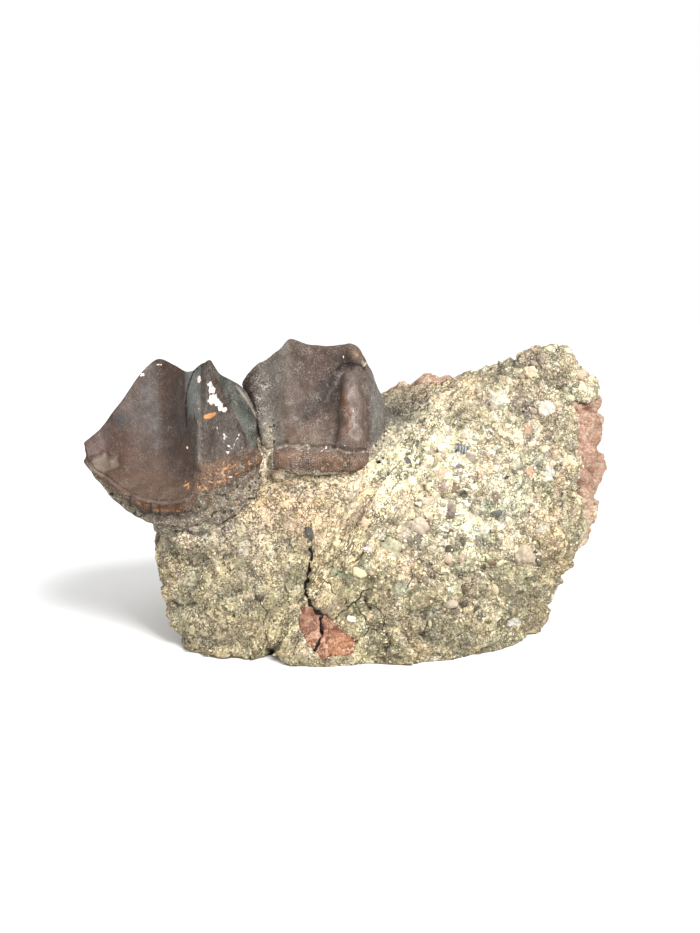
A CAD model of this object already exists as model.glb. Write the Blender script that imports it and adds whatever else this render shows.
"""The looks of two fossil titanothere cheek teeth in their block of pebbly sandstone.

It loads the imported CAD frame, models each visible piece in that frame, and dresses it with procedural
materials. Lengths in the classes are millimetres in the row frame, and MM turns them into metres.
"""

import logging
import math
from dataclasses import dataclass
from enum import Enum

import bmesh
import bpy
import numpy as np
from mathutils import Matrix, Vector, noise
from mathutils.bvhtree import BVHTree


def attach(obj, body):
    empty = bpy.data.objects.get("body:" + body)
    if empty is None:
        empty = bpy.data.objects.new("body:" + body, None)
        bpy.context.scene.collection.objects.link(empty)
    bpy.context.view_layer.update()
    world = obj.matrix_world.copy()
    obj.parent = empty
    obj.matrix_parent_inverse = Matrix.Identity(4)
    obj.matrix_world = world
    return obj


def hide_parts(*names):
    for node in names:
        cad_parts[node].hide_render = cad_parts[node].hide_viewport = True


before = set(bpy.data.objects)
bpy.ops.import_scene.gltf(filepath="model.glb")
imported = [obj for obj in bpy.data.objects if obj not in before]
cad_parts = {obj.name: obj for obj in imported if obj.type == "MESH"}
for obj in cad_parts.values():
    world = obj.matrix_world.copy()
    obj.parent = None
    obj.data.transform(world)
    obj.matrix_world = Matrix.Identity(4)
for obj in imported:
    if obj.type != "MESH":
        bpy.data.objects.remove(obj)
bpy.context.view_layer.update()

LOG = logging.getLogger("fossil_teeth")
MM = 0.001
# Vertices closer than this many metres are one
SAME_PLACE = 1e-6
# Tints are stored as this share of themselves, because a stored colour stops at 1
TINT_ROOM = 0.6
BODY = "root"

Array = np.ndarray
Piece = bpy.types.Object
Colour = tuple[float, float, float]
Point = tuple[float, float, float]
Line = tuple[tuple[float, float], ...]
Stops = tuple[tuple[float, Colour], ...]


class Slot(Enum):
    """The record's material slots."""

    SANDSTONE = "sandstone"
    ENAMEL = "enamel"
    MUDSTONE = "red_mudstone"


# Numbers over whole meshes


def noise_at(points: Array, size: float, seed: float = 0.0) -> Array:
    """Smooth noise.

    Args:
        points: places in millimetres, one a row.
        size: width of the noise's lumps in millimetres.
        seed: shift that gives another pattern.

    Returns:
        A value from about -1 to 1 for each place.
    """
    return np.array([noise.noise(Vector(place)) for place in (points / size + seed).tolist()])


@dataclass(frozen=True)
class Cells:
    """A pattern of irregular cells at many places."""

    edge: Array
    pick: Array
    facet: Array


def cells_at(points: Array, size: float, seed: float = 0.0) -> Cells:
    """Irregular cells, as of packed pebbles or broken faces.

    Args:
        points: places in millimetres, one a row.
        size: width of a cell in millimetres.
        seed: shift that gives another pattern.

    Returns:
        For each place, how far in from its cell's edge it is from 0 to about 1, its cell's random number
        from 0 to 1, and the height of a flat face that leans its own way in each cell.
    """
    rows = []
    for place in (points / size + seed).tolist():
        spot = Vector(place)
        gaps, middles = noise.voronoi(spot)
        lean = noise.cell_vector(middles[0] * 5.3)
        pick = noise.cell(middles[0] * 7.31)
        face = (spot - middles[0]).dot(lean) + pick * 0.15
        rows.append(((gaps[1] - gaps[0]) * 1.4, (pick + 1.0) * 0.5, face))
    edge, pick, facet = np.array(rows).T
    return Cells(np.clip(edge, 0.0, 1.0), pick, facet)


def blend(values: Array, low: float, high: float) -> Array:
    """0 below low, 1 above high, smooth between."""
    share = np.clip((values - low) / (high - low), 0.0, 1.0)
    return share * share * (3.0 - 2.0 * share)


def near(points: Array, middle: Point, reach: Point) -> Array:
    """How near each place is to a soft-edged ellipsoid's middle, 1 there and falling to 0 past its reach."""
    away = (points - np.array(middle)) / np.array(reach)
    return np.exp(-np.sum(away * away, axis=1))


def line_side(points: Array, line: Line) -> Array:
    """How far each place is from a line drawn on the front, below zero on the line's right.

    Args:
        points: places in millimetres, one a row.
        line: the line's corners as x, z.

    Returns:
        The distance in millimetres, seen from the front, with the sign of the line's side.
    """
    flat = points[:, [0, 2]]
    best = np.full(len(flat), 1e9)
    side = np.ones(len(flat))
    for start, end in zip(line, line[1:]):
        start, step = np.array(start), np.array(end) - np.array(start)
        share = np.clip((flat - start) @ step / (step @ step), 0.0, 1.0)
        gap = flat - (start + share[:, None] * step)
        square = np.sum(gap * gap, axis=1)
        side = np.where(square < best, np.where(step[0] * gap[:, 1] > step[1] * gap[:, 0], 1.0, -1.0), side)
        best = np.minimum(best, square)
    return np.sqrt(best) * side


def line_distance(points: Array, line: Line) -> Array:
    """How far each place is from a line drawn on the front, in millimetres."""
    return np.abs(line_side(points, line))


def along(points: Array, line: Line, width: float) -> Array:
    """How near each place is to a line drawn on the front, 1 on it and falling off past its half width."""
    return np.exp(-((line_distance(points, line) / width) ** 2))


def ridge(values: Array, middle: float, width: float) -> Array:
    """1 where a value is at the middle, falling off to the sides."""
    return np.exp(-(((values - middle) / width) ** 2))


def highest(*masks: Array) -> Array:
    """The highest of several masks at each place."""
    return np.maximum.reduce(masks)


def shifted(points: Array, size: float, seed: float, reach: float | Point) -> Array:
    """The places moved to and fro, so that an outline drawn at them wanders.

    Args:
        points: places in millimetres, one a row.
        size: width of a bend in millimetres.
        seed: shift that gives another pattern.
        reach: how far the places move in millimetres, along each axis or along all alike.

    Returns:
        The moved places.
    """
    return points + noise_at(points, size, seed)[:, None] * np.array(reach)


def pick_colours(stops: Stops, picks: Array) -> Array:
    """The colour of the last stop that each pick reaches."""
    starts = np.array([start for start, _ in stops])
    colours = np.array([colour for _, colour in stops])
    return colours[np.searchsorted(starts, picks, side="right") - 1]


def spline(knots: Array, at: Array, closed: bool) -> Array:
    """A smooth curve through knots.

    Args:
        knots: the points to pass through, along the first axis.
        at: places on the curve, where 0 is the first knot and 1 the second.
        closed: whether the last knot runs on to the first.

    Returns:
        The curve's points along the first axis.
    """
    count = len(knots)
    base = np.floor(at).astype(int)
    if not closed:
        base = np.clip(base, 0, count - 2)
    share = (at - base).reshape(-1, *([1] * (knots.ndim - 1)))
    picks = [base - 1, base, base + 1, base + 2]
    picks = [pick % count if closed else np.clip(pick, 0, count - 1) for pick in picks]
    before, start, end, after = (knots[pick] for pick in picks)
    cubic = -before + 3.0 * start - 3.0 * end + after
    square = 2.0 * before - 5.0 * start + 4.0 * end - after
    return 0.5 * (2.0 * start + (end - before) * share + square * share**2 + cubic * share**3)


# Meshes


def new_object(name: str, bm: bmesh.types.BMesh, smooth: bool = True) -> Piece:
    """An object from a bmesh, with its place in its mesh.

    Args:
        name: the object's name.
        bm: its mesh, which is freed.
        smooth: whether it is shaded smooth.

    Returns:
        The object.
    """
    mesh = bpy.data.meshes.new(name)
    bm.to_mesh(mesh)
    bm.free()
    obj = bpy.data.objects.new(name, mesh)
    bpy.context.scene.collection.objects.link(obj)
    if smooth:
        mesh.shade_smooth()
    return obj


def applied(obj: Piece) -> Piece:
    """The same object with its modifiers written into its mesh.

    Args:
        obj: an object with modifiers.

    Returns:
        The object.
    """
    bpy.context.view_layer.update()
    graph = bpy.context.evaluated_depsgraph_get()
    mesh = bpy.data.meshes.new_from_object(obj.evaluated_get(graph))
    obj.modifiers.clear()
    obj.data = mesh
    mesh.shade_smooth()
    return obj


def merged_copy(node: str, name: str) -> Piece:
    """A copy of a CAD node with its loose triangles joined up."""
    bm = bmesh.new()
    bm.from_mesh(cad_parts[node].data)
    bmesh.ops.remove_doubles(bm, verts=bm.verts, dist=SAME_PLACE)
    return new_object(name, bm)


def remeshed(obj: Piece, voxel: float) -> Piece:
    """The same object with an even mesh.

    Args:
        obj: a closed mesh.
        voxel: the new mesh's spacing in millimetres.

    Returns:
        The object.
    """
    modifier = obj.modifiers.new("Even mesh", "REMESH")
    modifier.mode = "VOXEL"
    modifier.voxel_size = voxel * MM
    modifier.use_smooth_shade = True
    return applied(obj)


def places(obj: Piece) -> Array:
    """The object's vertices in millimetres, one a row."""
    flat = np.empty(len(obj.data.vertices) * 3, np.float32)
    obj.data.vertices.foreach_get("co", flat)
    return flat.reshape(-1, 3).astype(float) / MM


def normals(obj: Piece) -> Array:
    """The object's vertex normals, one a row."""
    flat = np.empty(len(obj.data.vertices) * 3, np.float32)
    obj.data.vertex_normals.foreach_get("vector", flat)
    return flat.reshape(-1, 3).astype(float)


def move_to(obj: Piece, points: Array) -> None:
    """Puts the object's vertices at places in millimetres."""
    obj.data.vertices.foreach_set("co", (points * MM).astype(np.float32).ravel())
    obj.data.update()


def write_masks(obj: Piece, masks: dict[str, Array | float]) -> None:
    """Stores numbers for each vertex, by name, for the materials to read."""
    count = len(obj.data.vertices)
    for name, values in masks.items():
        attribute = obj.data.attributes.new(name, "FLOAT", "POINT")
        attribute.data.foreach_set("value", np.broadcast_to(values, count).astype(np.float32))


def read_mask(obj: Piece, name: str) -> Array:
    """A number stored for each vertex."""
    values = np.empty(len(obj.data.vertices), np.float32)
    obj.data.attributes[name].data.foreach_get("value", values)
    return values


def write_paint(obj: Piece, name: str, colours: Array) -> None:
    """Stores a colour for each vertex for the materials to read."""
    attribute = obj.data.attributes.new(name, "FLOAT_COLOR", "POINT")
    full = np.ones((len(colours), 4), np.float32)
    full[:, :3] = np.clip(colours, 0.0, 1.0)
    attribute.data.foreach_set("color", full.ravel())


def report(obj: Piece) -> None:
    """Logs a piece's name and size."""
    LOG.info("%s: %d faces", obj.name, len(obj.data.polygons))


# Node trees

Socket = bpy.types.NodeSocket
Value = float | tuple | Socket


class Graph:
    """A node tree with short ways to add and join nodes."""

    def __init__(self, tree: bpy.types.NodeTree) -> None:
        """Keeps the tree that the nodes go in."""
        self.tree = tree

    def feed(self, socket: Socket, value: Value) -> None:
        """Links a socket to another socket, or sets it."""
        if isinstance(value, bpy.types.NodeSocket):
            self.tree.links.new(value, socket)
        else:
            socket.default_value = value

    def node(self, kind: str, inputs: dict | None = None, **settings: object) -> bpy.types.Node:
        """A new node.

        Args:
            kind: the node's type.
            inputs: input name or number to a value or socket.
            settings: the node's own properties.

        Returns:
            The node.
        """
        made = self.tree.nodes.new(kind)
        for name, value in settings.items():
            setattr(made, name, value)
        for key, value in (inputs or {}).items():
            self.feed(made.inputs[key], value)
        return made

    def math(self, operation: str, *values: Value, clamp: bool = False) -> Socket:
        """The result of one sum."""
        inputs = dict(enumerate(values))
        return self.node("ShaderNodeMath", inputs, operation=operation, use_clamp=clamp).outputs[0]

    def times(self, first: Value, second: Value) -> Socket:
        """Two numbers multiplied."""
        return self.math("MULTIPLY", first, second)

    def plus_times(self, value: Value, factor: Value, base: Value) -> Socket:
        """A value times a factor, added to a base."""
        return self.math("MULTIPLY_ADD", value, factor, base)

    def most(self, first: Value, second: Value, clamp: bool = False) -> Socket:
        """The higher of two numbers."""
        return self.math("MAXIMUM", first, second, clamp=clamp)

    def step(self, value: Value, low: float, high: float, start: float = 0.0, end: float = 1.0) -> Socket:
        """A value mapped smoothly from low..high to start..end."""
        inputs = {"Value": value, "From Min": low, "From Max": high, "To Min": start, "To Max": end}
        return self.node("ShaderNodeMapRange", inputs, interpolation_type="SMOOTHSTEP").outputs["Result"]

    def mix(self, share: Value, first: Value, second: Value, blend_type: str = "MIX") -> Socket:
        """Two colours mixed."""
        inputs = {0: share, 6: first, 7: second}
        return self.node("ShaderNodeMix", inputs, data_type="RGBA", blend_type=blend_type).outputs[2]

    def scaled(self, colour: Value, factor: Value) -> Socket:
        """A colour or vector made longer by a factor."""
        return self.node("ShaderNodeVectorMath", {0: colour, "Scale": factor}, operation="SCALE").outputs[0]

    def ramp(self, value: Value, stops: Stops, interpolation: str = "LINEAR") -> Socket:
        """A colour picked from stops by a value.

        Args:
            value: what picks the colour.
            stops: each colour with the value where it stands.
            interpolation: how it blends between stops.

        Returns:
            The colour's socket.
        """
        made = self.node("ShaderNodeValToRGB", {0: value})
        made.color_ramp.interpolation = interpolation
        elements = made.color_ramp.elements
        elements[0].position, elements[0].color = stops[0][0], (*stops[0][1], 1.0)
        elements[1].position, elements[1].color = stops[-1][0], (*stops[-1][1], 1.0)
        for position, colour in stops[1:-1]:
            element = elements.new(position)
            element.color = (*colour, 1.0)
        return made.outputs["Color"]

    def texture(self, vector: Value, scale: Value, detail: float, roughness: float = 0.5) -> bpy.types.Node:
        """A noise texture."""
        inputs = {"Vector": vector, "Scale": scale, "Detail": detail, "Roughness": roughness}
        return self.node("ShaderNodeTexNoise", inputs)

    def noise(self, vector: Value, size: float, detail: float = 3.0, roughness: float = 0.55) -> Socket:
        """Noise with lumps of a size in millimetres, about 0.5 in the middle."""
        return self.texture(vector, 1.0 / size, detail, roughness).outputs[0]

    def mask(self, name: str) -> Socket:
        """A number stored on the mesh."""
        return self.node("ShaderNodeAttribute", attribute_name=name).outputs["Fac"]

    def paint(self, name: str) -> Socket:
        """A colour stored on the mesh."""
        return self.node("ShaderNodeAttribute", attribute_name=name).outputs["Color"]

    def group(self, tree: bpy.types.NodeTree, inputs: dict) -> bpy.types.Node:
        """A node group placed with its own values."""
        made = self.tree.nodes.new("ShaderNodeGroup")
        made.node_tree = tree
        for key, value in inputs.items():
            self.feed(made.inputs[key], value)
        return made

    def millimetres(self, stretch: Point = (1.0, 1.0, 1.0), lean: float = 0.0) -> Socket:
        """Object coordinates in millimetres.

        Args:
            stretch: how much longer patterns are each way.
            lean: the turn of the stretch on the front, in radians from upright to the right.

        Returns:
            The vector.
        """
        coordinates = self.node("ShaderNodeTexCoord").outputs["Object"]
        scale = tuple(MM * part for part in stretch)
        inputs = {"Vector": coordinates, "Rotation": (0.0, lean, 0.0), "Scale": scale}
        return self.node("ShaderNodeMapping", inputs, vector_type="TEXTURE").outputs["Vector"]


def new_group(
    name: str, inputs: dict[str, str], outputs: dict[str, str]
) -> tuple[Graph, bpy.types.Node, bpy.types.Node]:
    """An empty shader node group.

    Args:
        name: the group's name.
        inputs: socket names and their types.
        outputs: socket names and their types.

    Returns:
        The group's graph, its input node and its output node.
    """
    tree = bpy.data.node_groups.new(name, "ShaderNodeTree")
    for way, sockets in (("INPUT", inputs), ("OUTPUT", outputs)):
        for socket, kind in sockets.items():
            tree.interface.new_socket(socket, in_out=way, socket_type=kind)
    graph = Graph(tree)
    return graph, graph.node("NodeGroupInput"), graph.node("NodeGroupOutput")


NUMBER, VECTOR = "NodeSocketFloat", "NodeSocketVector"


def grain_mosaic_group() -> bpy.types.NodeTree:
    """Packed grains: a random pick for each, how near its edge is, and its rounded height.

    Returns:
        The group.
    """
    graph, given, out = new_group(
        "Grain mosaic",
        {"Vector": VECTOR, "Grain Size": NUMBER, "Raggedness": NUMBER},
        {"Pick": NUMBER, "Edge": NUMBER, "Height": NUMBER},
    )
    vector, size = given.outputs["Vector"], given.outputs["Grain Size"]
    scale = graph.math("DIVIDE", 1.0, size)
    wobble = graph.texture(vector, scale, 3.0).outputs["Color"]
    middle = (0.5, 0.5, 0.5)
    centred = graph.node("ShaderNodeVectorMath", {0: wobble, 1: middle}, operation="SUBTRACT").outputs[0]
    shift = graph.scaled(centred, graph.times(given.outputs["Raggedness"], size))
    moved = graph.node("ShaderNodeVectorMath", {0: vector, 1: shift}, operation="ADD").outputs[0]
    grain = {"Vector": moved, "Scale": scale}
    cells = graph.node("ShaderNodeTexVoronoi", grain, feature="F1").outputs["Color"]
    rims = graph.node("ShaderNodeTexVoronoi", grain, feature="DISTANCE_TO_EDGE").outputs["Distance"]
    graph.feed(out.inputs["Pick"], graph.node("ShaderNodeSeparateColor", {0: cells}).outputs[0])
    graph.feed(out.inputs["Edge"], graph.step(rims, 0.0, 0.14, 1.0, 0.0))
    graph.feed(out.inputs["Height"], graph.step(rims, 0.0, 0.45))
    return graph.tree


def torn_edge_group() -> bpy.types.NodeTree:
    """A soft mask given a crisp ragged edge.

    Returns:
        The group.
    """
    inputs = {"Mask": NUMBER, "Vector": VECTOR, "Size": NUMBER, "Raggedness": NUMBER}
    graph, given, out = new_group("Torn edge", inputs, {"Mask": NUMBER})
    scale = graph.math("DIVIDE", 1.0, given.outputs["Size"])
    tear = graph.texture(given.outputs["Vector"], scale, 4.0).outputs[0]
    centred = graph.math("SUBTRACT", tear, 0.5)
    torn = graph.plus_times(centred, given.outputs["Raggedness"], given.outputs["Mask"])
    graph.feed(out.inputs["Mask"], graph.step(torn, 0.42, 0.58))
    return graph.tree


def specks_group() -> bpy.types.NodeTree:
    """Small scattered spots.

    Returns:
        The group.
    """
    inputs = {"Vector": VECTOR, "Size": NUMBER, "Amount": NUMBER}
    graph, given, out = new_group("Specks", inputs, {"Mask": NUMBER})
    scale = graph.math("DIVIDE", 1.0, given.outputs["Size"])
    spots = graph.texture(given.outputs["Vector"], scale, 2.0, 0.7).outputs[0]
    above = graph.math("ADD", spots, given.outputs["Amount"])
    graph.feed(out.inputs["Mask"], graph.step(above, 0.70, 0.76))
    return graph.tree


def wrinkles_group() -> bpy.types.NodeTree:
    """Fine dark winding lines, thicker in some places than in others.

    Returns:
        The group.
    """
    inputs = {"Vector": VECTOR, "Size": NUMBER, "Width": NUMBER}
    graph, given, out = new_group("Wrinkles", inputs, {"Mask": NUMBER})
    scale = graph.math("DIVIDE", 1.0, given.outputs["Size"])
    wave = graph.texture(given.outputs["Vector"], scale, 2.5, 0.6).outputs[0]
    away = graph.math("ABSOLUTE", graph.math("SUBTRACT", wave, 0.5))
    wide = graph.noise(given.outputs["Vector"], 3.0, 2.0)
    width = graph.times(given.outputs["Width"], graph.step(wide, 0.35, 0.7, 0.15, 1.6))
    graph.feed(out.inputs["Mask"], graph.step(graph.math("DIVIDE", away, width), 0.35, 1.0, 1.0, 0.0))
    return graph.tree


@dataclass
class Groups:
    """The shared node groups."""

    mosaic: bpy.types.NodeTree
    wrinkles: bpy.types.NodeTree
    torn: bpy.types.NodeTree
    specks: bpy.types.NodeTree


def build_groups() -> Groups:
    """Makes each shared node group once."""
    return Groups(grain_mosaic_group(), wrinkles_group(), torn_edge_group(), specks_group())


@dataclass
class Palette:
    """The shared groups, ready to be placed in one material."""

    graph: Graph
    groups: Groups
    vector: Socket

    def grains(self, size: float, ragged: float) -> bpy.types.Node:
        """Packed grains of a size in millimetres."""
        inputs = {"Vector": self.vector, "Grain Size": size, "Raggedness": ragged}
        return self.graph.group(self.groups.mosaic, inputs)

    def lines(self, size: float, width: float, vector: Socket | None = None) -> Socket:
        """Fine winding lines."""
        inputs = {"Vector": vector or self.vector, "Size": size, "Width": width}
        return self.graph.group(self.groups.wrinkles, inputs).outputs["Mask"]

    def specks(self, size: float, amount: float) -> Socket:
        """Small scattered spots."""
        inputs = {"Vector": self.vector, "Size": size, "Amount": amount}
        return self.graph.group(self.groups.specks, inputs).outputs["Mask"]

    def torn(self, mask: str, size: float, ragged: float) -> Socket:
        """A mask stored on the mesh, given a crisp ragged edge."""
        inputs = {"Mask": self.graph.mask(mask), "Vector": self.vector, "Size": size, "Raggedness": ragged}
        return self.graph.group(self.groups.torn, inputs).outputs["Mask"]


# Finishes

# Colours of sand grains, with the share of grains where each begins
GRAINS: Stops = (
    (0.0, (0.10, 0.095, 0.09)),
    (0.04, (0.34, 0.32, 0.27)),
    (0.13, (0.54, 0.50, 0.38)),
    (0.26, (0.70, 0.63, 0.46)),
    (0.44, (0.82, 0.75, 0.57)),
    (0.62, (0.90, 0.84, 0.69)),
    (0.76, (0.82, 0.66, 0.53)),
    (0.83, (0.95, 0.92, 0.83)),
    (0.93, (0.56, 0.46, 0.39)),
)
# Colours of the patches that broken pebbles make in the surface
PATCHES: Stops = (
    (0.0, (0.48, 0.40, 0.34)),
    (0.08, (0.62, 0.56, 0.45)),
    (0.26, (0.80, 0.73, 0.55)),
    (0.46, (0.86, 0.79, 0.60)),
    (0.60, (0.70, 0.66, 0.48)),
    (0.74, (0.92, 0.80, 0.68)),
    (0.86, (0.97, 0.94, 0.86)),
)
PEBBLE_COLOURS: Stops = (
    (0.0, (0.20, 0.17, 0.155)),
    (0.05, (0.36, 0.29, 0.25)),
    (0.20, (0.50, 0.42, 0.36)),
    (0.42, (0.66, 0.60, 0.46)),
    (0.66, (0.76, 0.69, 0.52)),
    (0.86, (0.70, 0.53, 0.43)),
    (0.98, (0.90, 0.87, 0.78)),
)
RED_GRAINS: Stops = (
    (0.0, (0.22, 0.090, 0.055)),
    (0.16, (0.38, 0.175, 0.110)),
    (0.42, (0.50, 0.250, 0.160)),
    (0.70, (0.58, 0.310, 0.200)),
    (0.90, (0.64, 0.400, 0.280)),
)
BED_GRAINS: Stops = (
    (0.0, (0.44, 0.25, 0.17)),
    (0.14, (0.60, 0.36, 0.25)),
    (0.38, (0.72, 0.47, 0.34)),
    (0.62, (0.78, 0.57, 0.42)),
    (0.80, (0.80, 0.66, 0.50)),
    (0.93, (0.66, 0.61, 0.44)),
)


def new_material(name: str) -> tuple[bpy.types.Material, Graph, bpy.types.Node]:
    """A Principled material with its graph and shader."""
    made = bpy.data.materials.new(name)
    made.use_nodes = True
    return made, Graph(made.node_tree), made.node_tree.nodes["Principled BSDF"]


@dataclass(frozen=True)
class Bumps:
    """How strongly a height shows as relief."""

    strength: float
    depth_mm: float

    def dress(self, graph: Graph, shader: bpy.types.Node, height: Socket) -> None:
        """Feeds the height to the shader's normal."""
        inputs = {"Strength": self.strength, "Distance": self.depth_mm * MM, "Height": height}
        graph.feed(shader.inputs["Normal"], graph.node("ShaderNodeBump", inputs).outputs["Normal"])


@dataclass(frozen=True)
class SandstoneFinish:
    """Packed sand and broken pebbles in many pale colours, with fine dark lines and pits between them."""

    name: str
    grains: Stops = GRAINS
    patches: Stops = PATCHES
    patch_mm: float = 3.4
    stone_mm: float = 1.7
    sand_mm: float = 0.7
    line_mm: float = 0.95
    lean: float = 0.588
    pit: Colour = (0.06, 0.05, 0.035)
    gap: Colour = (0.008, 0.006, 0.005)
    specular: float = 0.25
    roughness: float = 0.9
    bumps: Bumps = Bumps(1.0, 0.55)

    def material(self, groups: Groups) -> bpy.types.Material:
        """The finish as a material that reads tint, coarse, streak, gap, split, set, stone and seam.

        Args:
            groups: the shared node groups.

        Returns:
            The material.
        """
        made, graph, shader = new_material(self.name)
        vector = graph.millimetres()
        leaning = graph.millimetres((0.8, 1.0, 2.6), self.lean)
        kit = Palette(graph, groups, vector)
        patch = kit.grains(self.patch_mm, 0.5).outputs
        stone = kit.grains(self.stone_mm, 0.6).outputs
        sand = kit.grains(self.sand_mm, 0.8).outputs
        coarse, flush = graph.mask("coarse"), kit.torn("set", 0.8, 0.3)
        stones = graph.step(graph.plus_times(coarse, 0.12, graph.noise(vector, 2.4)), 0.56, 0.62)
        large = graph.step(graph.plus_times(coarse, 0.14, graph.noise(vector, 6.0)), 0.50, 0.60)
        fine = graph.ramp(sand["Pick"], self.grains, "CONSTANT")
        fine = graph.mix(0.25, fine, graph.ramp(patch["Pick"], self.patches))
        patched = graph.ramp(patch["Pick"], self.patches, "CONSTANT")
        colour = graph.mix(graph.times(large, 0.75), fine, patched)
        stony = graph.ramp(stone["Pick"], self.grains, "CONSTANT")
        colour = graph.mix(graph.times(stones, 0.7), colour, stony)
        tinted = graph.mix(1.0, colour, graph.paint("tint"), "MULTIPLY")
        mottled = graph.step(graph.noise(vector, 0.9), 0.35, 0.65, 0.82, 1.15)
        face = graph.scaled(graph.paint("stone"), mottled)
        tinted = graph.mix(graph.times(flush, 0.92), tinted, face)
        cloud = graph.step(graph.noise(vector, 9.0, 4.0), 0.3, 0.7, 0.86, 1.12)
        unlit = graph.times(flush, 1.0 / TINT_ROOM - 1.0)
        clouded = graph.scaled(tinted, graph.times(cloud, graph.math("SUBTRACT", 1.0 / TINT_ROOM, unlit)))
        rims = graph.most(graph.times(patch["Edge"], large), graph.times(stone["Edge"], stones))
        hollow = self.hollows(kit, leaning, rims)
        hollow = graph.times(hollow, graph.math("SUBTRACT", 1.0, graph.times(flush, 0.75)))
        cracked = self.cracks(kit)
        dirty = graph.mix(hollow, clouded, (*self.pit, 1.0))
        graph.feed(shader.inputs["Base Color"], graph.mix(cracked, dirty, (*self.gap, 1.0)))
        shader.inputs["Roughness"].default_value = self.roughness
        shader.inputs["Specular IOR Level"].default_value = self.specular
        height = graph.times(graph.times(patch["Height"], large), 0.8)
        height = graph.plus_times(graph.times(stone["Height"], stones), 0.8, height)
        height = graph.plus_times(sand["Height"], 0.35, height)
        height = graph.plus_times(graph.most(hollow, cracked, clamp=True), -0.9, height)
        self.bumps.dress(graph, shader, height)
        return made

    def hollows(self, kit: Palette, leaning: Socket, rims: Socket) -> Socket:
        """Fine dark lines, pits and the joints round the grains.

        Args:
            kit: the groups placed in this material.
            leaning: coordinates drawn out along the folds.
            rims: edges of the patches and stones.

        Returns:
            How dark and sunken each spot is, from 0 to 1.
        """
        graph = kit.graph
        inputs = {0: graph.mask("streak"), 2: kit.lines(self.line_mm, 0.052)}
        inputs[3] = kit.lines(self.line_mm, 0.06, leaning)
        lines = graph.node("ShaderNodeMix", inputs).outputs[0]
        hollow = graph.most(graph.times(rims, 0.4), graph.times(kit.specks(0.8, 0.06), 0.8))
        hollow = graph.most(hollow, graph.times(lines, 0.8))
        return graph.most(hollow, graph.times(kit.torn("seam", 1.0, 1.0), 0.6))

    def cracks(self, kit: Palette) -> Socket:
        """The wide crack, and thin ones that come and go along their length."""
        graph = kit.graph
        away = graph.math("ABSOLUTE", graph.mask("split"))
        ragged = graph.plus_times(graph.noise(kit.vector, 0.7), 1.6, away)
        open_here = graph.step(graph.noise(kit.vector, 2.6), 0.38, 0.5)
        thin = graph.times(graph.step(ragged, 1.3, 2.2, 1.0, 0.0), open_here)
        return graph.most(kit.torn("gap", 0.9, 0.45), graph.times(thin, 0.85))


@dataclass(frozen=True)
class GritFinish:
    """Loose-looking sand grains and pebbles that each carry a colour of their own."""

    name: str = "Grit"
    roughness: float = 0.7
    mottle_mm: float = 0.35
    bumps: Bumps = Bumps(0.4, 0.2)

    def material(self, groups: Groups) -> bpy.types.Material:
        """The finish as a material that reads tint from the mesh.

        Args:
            groups: the shared node groups.

        Returns:
            The material.
        """
        made, graph, shader = new_material(self.name)
        vector = graph.millimetres()
        mottle = graph.noise(vector, self.mottle_mm, 3.0, 0.65)
        shade = graph.step(mottle, 0.25, 0.75, 0.72, 1.18)
        graph.feed(shader.inputs["Base Color"], graph.scaled(graph.paint("tint"), shade))
        shader.inputs["Roughness"].default_value = self.roughness
        self.bumps.dress(graph, shader, mottle)
        return made


# What lies on the enamel
DUST = (0.38, 0.34, 0.30, 1.0)
SCRATCH = (0.33, 0.29, 0.25, 1.0)
SCUFF = (0.50, 0.45, 0.40, 1.0)
SOOT = (0.02, 0.015, 0.012, 1.0)
DARK_CRUST = (0.22, 0.205, 0.195, 1.0)
PALE_CRUST = (0.70, 0.67, 0.63, 1.0)
CRUST_SEAM = (0.05, 0.035, 0.025, 1.0)
RUST = (0.60, 0.27, 0.09, 1.0)
CALCITE: Stops = ((0.42, (0.93, 0.90, 0.86)), (0.60, (0.86, 0.62, 0.54)))
HAIRLINE = (0.018, 0.014, 0.012, 1.0)


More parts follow.
